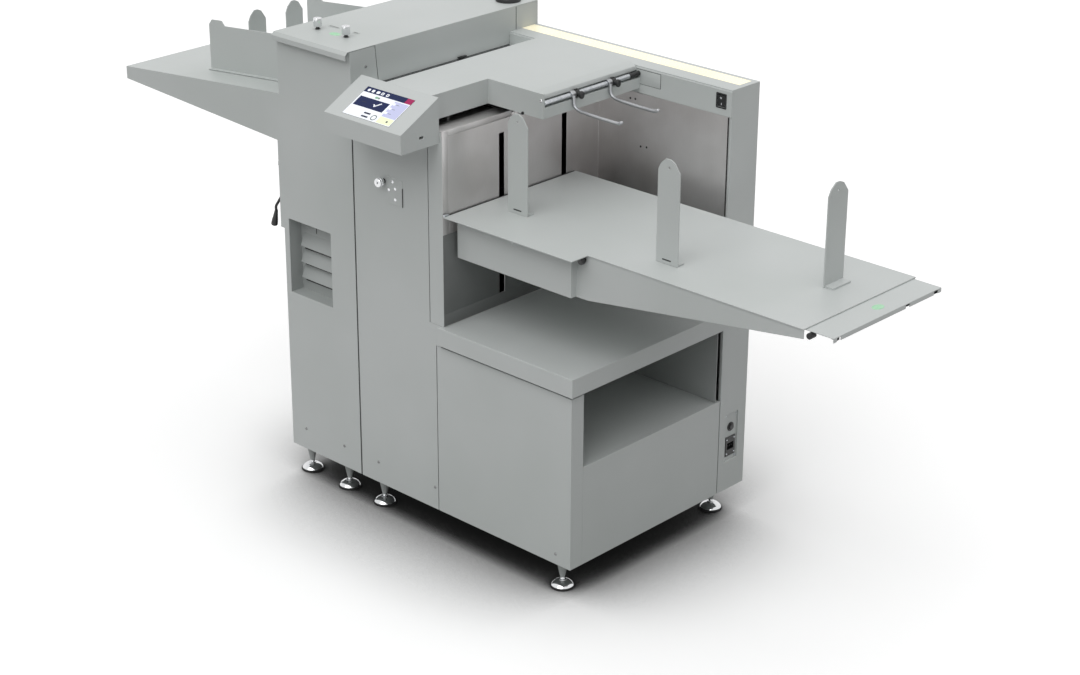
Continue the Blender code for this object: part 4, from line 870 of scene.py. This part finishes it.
# small turned parts: places for each way that they face, and a profile of radius and height
studs = {
    "panelScrews": {
        "body": "chassis", "finish": "machined_steel", "slot": "machined_steel", "sides": 20,
        "profile": [(0, 0.0008), (0.0012, 0.0008), (0.0014, 0.0018), (0.0026, 0.0017), (0.0036, 0.0011),
                    (0.0040, 0.0002), (0.0040, -0.0004), (0, -0.0004)],  # button head with a socket
        "places": {
            (0, -1, 0): [(-0.4638, -0.2642, 0.1430), (-0.3157, -0.2642, 0.1426),
                         (-0.1863, -0.2642, 0.1415), (0.0200, -0.2642, 0.1440), (0.4287, -0.2642, 0.1115)],
            (1, 0, 0): [(-0.2501, -0.2145, 1.1612)],
            (0, 1, 0): [(x, 0.3868, z) for x in (-0.235, 0.110, 0.460, -0.500, -0.268)
                        for z in (0.110, 0.560, 1.000)]}},
    "airPlateStuds": {
        "body": "chassis", "finish": "chrome", "slot": "chrome", "sides": 24,
        "profile": [(0, 0.0016), (0.0026, 0.0015), (0.0040, 0.0006), (0.0042, -0.0002), (0, -0.0002)],
        "places": {(0, -1, 0): [(-0.1100, -0.2652, 0.9160), (-0.1230, -0.2652, 0.8932),
                                (-0.1008, -0.2652, 0.9000), (-0.1016, -0.2652, 0.8724)]}},
    "rodEndScrew": {
        "body": "chassis", "finish": "chrome", "slot": "chrome", "sides": 24,
        "profile": [(0, 0.0018), (0.0030, 0.0016), (0.0042, 0.0006), (0.0042, -0.0002), (0, -0.0002)],
        "places": {(0, -1, 0): [(0.1840, -0.0617, 1.1354)]}},
    "headStopBlack": {
        "body": "chassis", "finish": "black_rubber", "slot": "black_rubber", "sides": 20,
        "profile": [(0, 0.0030), (0.0030, 0.0030), (0.0036, 0.0020), (0.0036, -0.0002), (0, -0.0002)],
        "places": {(0, -1, 0): [(0.1260, -0.0617, 1.0934)]}},
    "guidePlateRivets": {
        "body": "chassis", "finish": "black_plastic", "slot": "black_plastic", "sides": 20,
        "profile": [(0, 0.0006), (0.0026, 0.0005), (0.0030, -0.0002), (0, -0.0002)],
        "places": {(0, -1, 0): [(0.1978, 0.2815, 0.9434), (0.2169, 0.2815, 0.9455),
                                (0.1612, 0.2815, 1.0596), (0.1773, 0.2815, 1.0608)]}},
    "lidDamperCapBlack": {  # moulded cap over the damper at the back of the lid
        "body": "lid", "finish": "black_plastic", "slot": "black_plastic", "sides": 48,
        "profile": [(0, 0.0142), (0.0258, 0.0142), (0.0262, 0.0139), (0.0324, 0.0086), (0.0326, 0.0080),
                    (0.0326, 0), (0, 0)],
        "places": {(0, 0, 1): [(-0.3003, 0.3288, 1.2084)]}},
    "flapKnobBlack": {  # on the front of the beam, beside the flap
        "body": "table", "finish": "black_plastic", "slot": "black_plastic", "sides": 24,
        "profile": [(0, 0), (0.0042, 0), (0.0042, 0.0050), (0.0074, 0.0070), (0.0090, 0.0110),
                    (0.0086, 0.0160), (0.0064, 0.0200), (0, 0.0210)],
        "places": {(0, -1, 0): [(0.4600, -0.2060, 0.8560)]}},
    "extensionRollerBlack": {  # guide roller under the extension
        "body": "extension", "finish": "black_rubber", "slot": "black_rubber", "sides": 24,
        "profile": [(0, 0), (0.0062, 0), (0.0070, 0.0008), (0.0070, 0.0180), (0.0062, 0.0188),
                    (0, 0.0188)],
        "places": {(0, -1, 0): [(1.0890, -0.1900, 0.8570)]}},
}


def makeStuds():
    for name, stud in studs.items():
        mesh = bmesh.new()
        for facing, places in stud["places"].items():
            for place in places:
                addTurned(mesh, stud["profile"], pointing(place, facing), stud["sides"])
        makePiece(name, mesh, [stud["finish"]], stud["body"])


makeStuds()


# strips, tabs and caps of plain boxes, each given by its lower and its upper corner
strips = {
    "airPlateEdge": {  # shadow line beside the air knob's plate
        "body": "chassis", "finish": "black_plastic", "slot": "black_plastic", "edge": 0.0002,
        "boxes": [((-0.0772, -0.2662, 0.8585), (-0.0756, -0.2644, 0.9060))]},
    "lidSideSeam": {
        "body": "lid", "finish": "seam", "slot": "black_rubber", "edge": 0,
        "boxes": [((-0.2504, 0.3054, 1.1480), (-0.2499, 0.3066, 1.2050))]},
    "lidCatchBlack": {  # catch between the lid and the feed head
        "body": "chassis", "finish": "black_plastic", "slot": "black_plastic", "edge": 0.0008,
        "boxes": [((-0.2499, 0.1005, 1.1055), (-0.2440, 0.1145, 1.1165)),
                  ((-0.2499, 0.0940, 1.1160), (-0.2420, 0.1210, 1.1190))]},
    "ventSlotBlack": {  # black strip in the back of the vent, painted shade of a dark slot
        "body": "chassis", "finish": "black_plastic", "slot": "black_plastic", "edge": 0.0002,
        "boxes": [((-0.4425, -0.2246, 0.6840), (-0.4398, -0.2236, 0.7050))]},
    "towerSeamAndLidShadowLines": {  # a dark seam down the tower's front, and a painted shadow strip along the foot of the lid
        "body": "chassis", "finish": "seam", "slot": "black_rubber", "edge": 0,
        "boxes": [((-0.2520, -0.2650, 0.0850), (-0.2500, -0.2640, 1.0480)),
                  ((-0.2478, -0.1650, 1.1116), (-0.2404, 0.2790, 1.1124))]},
    "guideEdgeStrip": {  # where the guide plate meets the column
        "body": "chassis", "finish": "black_rubber", "slot": "black_rubber", "edge": 0.0002,
        "boxes": [((0.4672, 0.2796, 0.5880), (0.4684, 0.2818, 1.0780))]},
    "cornerPostCap": {
        "body": "chassis", "finish": "panel_paint", "slot": "panel_paint", "edge": 0.0006,
        "boxes": [((0.0116, -0.2642, 1.0638), (0.0570, -0.2442, 1.0768))]},
    "flapBracketZinc": {  # at the flap's left end
        "body": "table", "finish": "zinc", "slot": "machined_steel", "edge": 0.0006,
        "boxes": [((0.0612, -0.2642, 0.8702), (0.0655, -0.2500, 0.8760))]},
    "tableEdgeShadowLine": {  # black strip on the table's edge beside the wall, painted shadow of the gap there
        "body": "table", "finish": "black_rubber", "slot": "black_rubber", "edge": 0.0001,
        "boxes": [((0.0600, -0.2440, 0.8700), (0.0632, 0.1900, 0.8706))]},
    "flapTab": {
        "body": "table", "finish": "panel_paint", "slot": "panel_paint", "edge": 0.0004,
        "boxes": [((0.2826, -0.2642, 0.8630), (0.2872, -0.2624, 0.8672))]},
    "extensionBumpersBlack": {
        "body": "extension", "finish": "black_plastic", "slot": "black_plastic", "edge": 0.0010,
        "boxes": [((1.1300, -0.1860, 0.8560), (1.1440, -0.1760, 0.8645)),
                  ((1.1330, 0.1790, 0.8590), (1.1440, 0.1880, 0.8645))]},
}


def makeStrips():
    for name, strip in strips.items():
        mesh = bmesh.new()
        for low, high in strip["boxes"]:
            addBox(mesh, low, high, strip["edge"])
        makePiece(name, mesh, [strip["finish"]], strip["body"])


makeStrips()


# green ovals on the lid and the extension
label = {
    "places": {"lid": (-0.3886, -0.1867, 1.2085), "extension": (1.1122, 0.0026, 0.8667)},
    "turns": {"lid": 0, "extension": 90},  # degrees
    "long": 0.0170, "short": 0.0115,  # half sizes
    "film": 0.0003,
    "sides": 40,
}


def makeLabels():
    long, film = label["long"], label["film"]
    for body, place in label["places"].items():
        mesh = bmesh.new()
        addTurned(mesh, [(0, film), (long - film, film), (long, 0), (0, 0)],
                  pointing(place, turn=math.radians(label["turns"][body])), label["sides"],
                  oval=label["short"] / long)
        makePiece(body + "LabelGreen", mesh, ["vinyl"], body)


makeLabels()


# pressed handle slots behind the lid knobs, each a rim with a mid grey plate inside as painted shade of the
# hollow
lidSlot = {
    "places": ((-0.456, -0.418, -0.1520, -0.1410), (-0.369, -0.348, -0.1510, -0.1400)),  # x and y spans
    "top": 1.2085,
    "corner": 0.0040, "rim": 0.003,
    "shadeCorner": 0.0020,
    "sink": 0.0002, "proud": 0.0008, "shadeProud": 0.0010,
    "edge": 0.0003,
}


def makeLidSlots():
    mesh = bmesh.new()
    for left, right, low, high in lidSlot["places"]:
        wide, deep, rim = right - left, high - low, lidSlot["rim"]
        at = pointing(((left + right) / 2, (low + high) / 2, lidSlot["top"]))
        addPrism(mesh, roundOutline(wide, deep, lidSlot["corner"]), -lidSlot["sink"], lidSlot["proud"], at,
                 edge=lidSlot["edge"])
        addPrism(mesh, roundOutline(wide - rim * 2, deep - rim * 2, lidSlot["shadeCorner"]),
                 lidSlot["proud"], lidSlot["shadeProud"], at, paint=1)
    makePiece("lidSlotInserts", mesh, ["panel_paint", "recess"], "lid")


makeLidSlots()


# blank cover plate on the band above the guide, with the seam round it
cover = {
    "place": (0.2140, 0.2815, 1.1205),
    "wide": 0.0840, "high": 0.0350,
    "corner": 0.0015, "seamCorner": 0.0020,
    "seam": 0.0012,
    "sink": 0.0002, "proud": 0.0010, "seamProud": 0.0002,
    "edge": 0.0003,
}


def makeCover():
    wide, high, seam = cover["wide"], cover["high"], cover["seam"]
    at = pointing(cover["place"], (0, -1, 0))
    mesh = bmesh.new()
    addPrism(mesh, roundOutline(wide, high, cover["corner"]), -cover["sink"], cover["proud"], at,
             edge=cover["edge"])
    makePiece("bandCoverPlate", mesh, ["panel_paint"], "chassis")
    mesh = bmesh.new()
    addPrism(mesh, roundOutline(wide + seam * 2, high + seam * 2, cover["seamCorner"]), -cover["sink"],
             cover["seamProud"], at)
    makePiece("bandCoverSeam", mesh, ["seam"], "chassis")


makeCover()


# steel bed in the throat, and a dark skin on the lower wall that is painted shade under the table
throat = {
    "ahead": (-0.2640, -0.0300),  # y span in front of the suction drum, where the bed is higher
    "under": (-0.0300, 0.2790),
    "aheadOutline": [(0.0586, 1.0785), (0.0180, 1.0785), (-0.0100, 1.0680), (-0.0360, 1.0680),
                     (-0.0360, 1.0665), (-0.0095, 1.0665), (0.0184, 1.0770), (0.0571, 1.0770),
                     (0.0571, 1.0645), (0.0586, 1.0645)],  # x and z
    "underOutline": [(0.0586, 1.0730), (-0.0360, 1.0730), (-0.0360, 1.0715), (0.0571, 1.0715),
                     (0.0571, 1.0642), (0.0586, 1.0642)],
    "bedEdge": 0.0002,
    "skin": (0.0586, 0.0591),  # x span
    "skinEdge": 0.0001,
    "edgeStrip": ((-0.2634, 0.8224), (-0.2440, 1.0770)),  # y and z of its two corners
    "sill": (0.5890, 0.6195), "skinTop": 0.8220,
    "strips": ((-0.2634, -0.0740), (-0.0544, 0.1460), (0.1656, 0.2790)),  # between the lift slots
}


def makeThroat():
    upright = Matrix.Rotation(math.pi / 2, 4, "X")  # outlines in x and z, drawn out along y
    left, right = throat["skin"]
    edge, strips = throat["skinEdge"], throat["strips"]
    mesh = bmesh.new()
    for part in ("ahead", "under"):
        front, back = throat[part]
        addPrism(mesh, throat[part + "Outline"], -back, -front, upright, edge=throat["bedEdge"])
    lower, upper = throat["edgeStrip"]
    addBox(mesh, (left, *lower), (right, *upper), edge)
    makePiece("infeedBedPlate", mesh, ["stainless"], "chassis")
    # dark skin on the wall below the table: painted shade
    mesh = bmesh.new()
    bottom, sill = throat["sill"]
    for front, back in strips:
        addBox(mesh, (left, front, sill), (right, back, throat["skinTop"]), edge)
    addBox(mesh, (left, strips[0][0], bottom), (right, strips[-1][1], sill), edge)
    makePiece("lowerWallShadeSkin", mesh, ["lower_wall_shade"], "chassis")


makeThroat()


# rocker frame and its two marks, breaker nut and button, inlet screws
electrics = {
    "rocker": (0.4447, 0.2815, 1.1150),
    "frame": [(0.0310, 0.0370, 0.0020, -0.0002), (0.0310, 0.0370, 0.0020, 0.0012),
              (0.0262, 0.0322, 0.0008, 0.0016), (0.0262, 0.0322, 0.0008, -0.0002)],  # wide, high, corner, z
    "frameSteps": 3,
    "bar": ((0.4442, 0.2812, 1.1045), (0.4452, 0.2816, 1.1092)),
    "circle": (0.4447, 0.2795, 1.1222),
    "circleRadii": (0.0018, 0.0026),
    "circleProud": 0.0003,
    "tilt": (0, -0.0144, -0.0040),  # the way that the rocker's upper half faces
    "breaker": (0.4717, 0.3323, 0.2555),
    "nut": [(0.0087, -0.0010), (0.0122, -0.0010), (0.0122, 0.0014), (0.0112, 0.0022), (0.0087, 0.0022)],
    "ringSides": 24,
    "buttonEnd": ((0, 0.0016), (0.0014, 0.0002), (0.0030, 0)),  # how far in and how far down
    "buttonDish": 0.0006,
    "smallScrew": [(0, 0.0006), (0.0009, 0.0006), (0.0010, 0.0012), (0.0020, 0.0010), (0.0024, 0), (0, 0)],
    "smallPlaces": [(0.4739, y, z) for y in (0.3180, 0.3466) for z in (0.2220, 0.1830)],
    "bigScrew": [(0, 0.0008), (0.0011, 0.0008), (0.0012, 0.0014), (0.0024, 0.0011), (0.0028, -0.0002),
                 (0, -0.0002)],
    "bigPlaces": [(0.4717, y, z) for z in (0.2880, 0.1700) for y in (0.3120, 0.3526)],
    "screwSides": 16,
}


def makeRockerTrim():
    mesh = bmesh.new()
    at = pointing(electrics["rocker"], (0, -1, 0))
    rings = [[mesh.verts.new(at @ Vector((x, y, z)))
              for x, y in roundOutline(wide, high, corner, electrics["frameSteps"])]
             for wide, high, corner, z in electrics["frame"]]
    count = len(rings[0])
    for lower, upper in zip(rings, rings[1:] + rings[:1]):
        for k in range(count):
            mesh.faces.new((lower[k], lower[(k + 1) % count], upper[(k + 1) % count], upper[k]))
    makePiece("rockerFrameBlack", mesh, ["black_plastic"], "chassis")
    mesh = bmesh.new()
    addBox(mesh, *electrics["bar"], 0)
    inner, outer = electrics["circleRadii"]
    proud = electrics["circleProud"]
    addTurned(mesh, [(inner, 0), (outer, 0), (outer, proud), (inner, proud)],
              pointing(electrics["circle"], Vector(electrics["tilt"]).normalized()),
              electrics["ringSides"], ring=True)
    makePiece("rockerMarksWhite", mesh, ["inkwhite"], "rocker")


def makeBreaker():
    mesh = bmesh.new()
    addTurned(mesh, electrics["nut"], pointing(electrics["breaker"], (1, 0, 0)), electrics["ringSides"],
              ring=True)
    makePiece("breakerNut", mesh, ["black_plastic"], "chassis")
    low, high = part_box("breaker_button")
    at = pointing((low.x, (low.y + high.y) / 2, (low.z + high.z) / 2), (1, 0, 0))
    long, radius = high.x - low.x, (high.z - low.z) / 2
    end = [(radius - inward, long - down) for inward, down in electrics["buttonEnd"]]
    mesh = bmesh.new()
    addTurned(mesh, [(0, 0), (radius, 0)] + end + [(0, long - electrics["buttonDish"])], at)
    makePiece("breakerButtonBlack", mesh, ["black_plastic"], "breaker",
              ["breaker_button"])


def makeInletScrews():
    mesh = bmesh.new()
    for kind in ("small", "big"):
        for place in electrics[kind + "Places"]:
            addTurned(mesh, electrics[kind + "Screw"], pointing(place, (1, 0, 0)), electrics["screwSides"])
    makePiece("inletScrews", mesh, ["zinc"], "chassis")


makeRockerTrim()
makeBreaker()
makeInletScrews()


# vent: a shallow tray with three pressed louvres; the tray is in the coat's painted shade, and a black
# strip under each louvre is painted shade for its open slot
vent = {
    "left": -0.5023, "right": -0.3404, "low": 0.5190, "high": 0.7230,
    "rim": -0.2619, "floor": -0.2220, "gauge": 0.0020,
    "slats": (0.6440, 0.6000, 0.5575),  # height of each lower edge
    "slatLeft": -0.4870, "slatRise": 0.0330, "slatProud": 0.0150,
    "noseHigh": 0.0012, "rootHigh": 0.0016,  # thickness of the fold at its edge and at its root
    "slatSink": 0.0002, "slatEdge": 0.0003,
    "slotHigh": 0.0125, "slotProud": 0.0004,
}


def makeVent():
    left, right, low, high = vent["left"], vent["right"], vent["low"], vent["high"]
    rim, floor, gauge = vent["rim"], vent["floor"], vent["gauge"]
    face = floor - gauge
    mesh = bmesh.new()
    for lower, upper in (((left, face, low), (right, floor, high)),
                         ((left, rim, low), (left + gauge, face, high)),
                         ((right - gauge, rim, low), (right, face, high)),
                         ((left + gauge, rim, low), (right - gauge, face, low + gauge)),
                         ((left + gauge, rim, high - gauge), (right - gauge, face, high))):
        addBox(mesh, lower, upper, 0)
    turn = Matrix(((0, 0, 1, 0), (1, 0, 0, 0), (0, 1, 0, 0), (0, 0, 0, 1)))  # X, Y, Z to world Y, Z, X
    root, nose, end = face + vent["slatSink"], face - vent["slatProud"], right - gauge
    for z in vent["slats"]:
        outline = [(root, z + vent["slatRise"]), (nose, z + vent["noseHigh"]), (nose, z),
                   (root, z + vent["rootHigh"])]
        addPrism(mesh, outline, vent["slatLeft"], end, turn, edge=vent["slatEdge"])
        # black strip under the louvre: painted shade standing in for the open slot
        addBox(mesh, (vent["slatLeft"], face - vent["slotProud"], z - vent["slotHigh"]), (end, face, z), 0,
               paint=1)
    makePiece("ventLouvresPressed", mesh, ["panel_paint_dark", "black_plastic"], "chassis",
              ["vent_louvres"])


makeVent()


# slot in the foot of each front upright, drawn as a thin dark plate that is painted shade of the slot
uprightSlot = {
    "places": {"upright_left": (0.1730, -0.1292, 0.8800), "upright_right": (0.6329, -0.1292, 0.8800)},
    "wide": 0.0260, "high": 0.0034, "corner": 0.0016,
    "proud": 0.0002,
}


def makeUprightSlots():
    outline = roundOutline(uprightSlot["wide"], uprightSlot["high"], uprightSlot["corner"])
    proud = uprightSlot["proud"]
    for body, place in uprightSlot["places"].items():
        mesh = bmesh.new()
        addPrism(mesh, outline, -proud, proud, pointing(place, (0, -1, 0)))
        makePiece(body.title().replace("_", "") + "Slot", mesh, ["seam"], body)


makeUprightSlots()
print("details ready")


# lights and floor: an overhead ceiling of light and a weak wide fill from the front
studio = {
    "skyLevel": 0.88,  # straight up
    "skyFrom": 0.05, "skyTo": 0.75,  # height in the sky between which it brightens
    "fillFrom": (0.040, -0.165, 0.190),
    "fillAngle": 50,  # degrees across
    "floorSize": 40,
    "floorRoughness": 0.9,
    "floorSeen": 1.24,  # lifts the floor to white for the camera
    "floorBounce": 0.36,  # what the floor gives back to the machine
    "shadowReach": 0.5,  # metres of floor that the painted contact shadow reaches from the low body
    "shadowFrom": 0.32, "shadowTo": 0.90,  # open share of the sky where it turns black and white
    "shadowSamples": 12,
}


def litRays(tree):
    path = addNode(tree, "ShaderNodeLightPath").outputs
    seen = addNode(tree, "ShaderNodeMath", {0: path["Is Camera Ray"], 1: path["Is Glossy Ray"]},
                   operation="MAXIMUM")
    return addNode(tree, "ShaderNodeMath", {0: seen.outputs[0], 1: path["Is Transmission Ray"]},
                   operation="MAXIMUM").outputs[0]


def makeStudio():
    world = bpy.data.worlds.new("whiteStudio")
    bpy.context.scene.world = world
    world.use_nodes = True
    tree = world.node_tree
    way = addNode(tree, "ShaderNodeSeparateXYZ", {
        "Vector": addNode(tree, "ShaderNodeTexCoord").outputs["Generated"]})
    sky = addNode(tree, "ShaderNodeMapRange", {
        "Value": way.outputs["Z"], "From Min": studio["skyFrom"], "From Max": studio["skyTo"],
        "To Max": studio["skyLevel"]}, interpolation_type="SMOOTHSTEP")
    level = addNode(tree, "ShaderNodeMapRange", {
        "Value": litRays(tree), "To Min": sky.outputs["Result"], "To Max": 1.0})
    back = tree.nodes["Background"]
    back.inputs["Color"].default_value = (1, 1, 1, 1)
    tree.links.new(level.outputs["Result"], back.inputs["Strength"])
    lamp = bpy.data.lights.new("wideFill", "SUN")
    lamp.energy = math.pi * Vector(studio["fillFrom"]).length
    lamp.angle = math.radians(studio["fillAngle"])
    item = bpy.data.objects.new("wideFill", lamp)
    item.rotation_mode = "QUATERNION"
    item.rotation_quaternion = Vector(studio["fillFrom"]).to_track_quat("Z", "Y")
    bpy.context.scene.collection.objects.link(item)
    mesh = bpy.data.meshes.new("studioFloor")
    half = studio["floorSize"] / 2
    mesh.from_pydata([(-half, -half, 0), (half, -half, 0), (half, half, 0), (-half, half, 0)], [],
                     [(0, 1, 2, 3)])
    floor = bpy.data.objects.new("studioFloor", mesh)
    bpy.context.scene.collection.objects.link(floor)
    material, tree, shader = startMaterial("mattWhiteFloor", Roughness=studio["floorRoughness"])
    bounce = studio["floorBounce"]
    # the floor's colour for the camera darkens by ambient occlusion near the machine: a painted contact
    # shadow
    paintedFloorShadow = addNode(tree, "ShaderNodeAmbientOcclusion", {"Distance": studio["shadowReach"]},
                   samples=studio["shadowSamples"])
    seen = addNode(tree, "ShaderNodeMapRange", {
        "Value": paintedFloorShadow.outputs["AO"], "From Min": studio["shadowFrom"], "From Max": studio["shadowTo"],
        "To Max": studio["floorSeen"]})
    colour = addNode(tree, "ShaderNodeMix", {
        "Factor": litRays(tree), "A": (bounce, bounce, bounce, 1), "B": seen.outputs["Result"]},
        data_type="RGBA")
    tree.links.new(colour.outputs["Result"], shader.inputs["Base Color"])
    mesh.materials.append(material)


makeStudio()
print("studio ready")
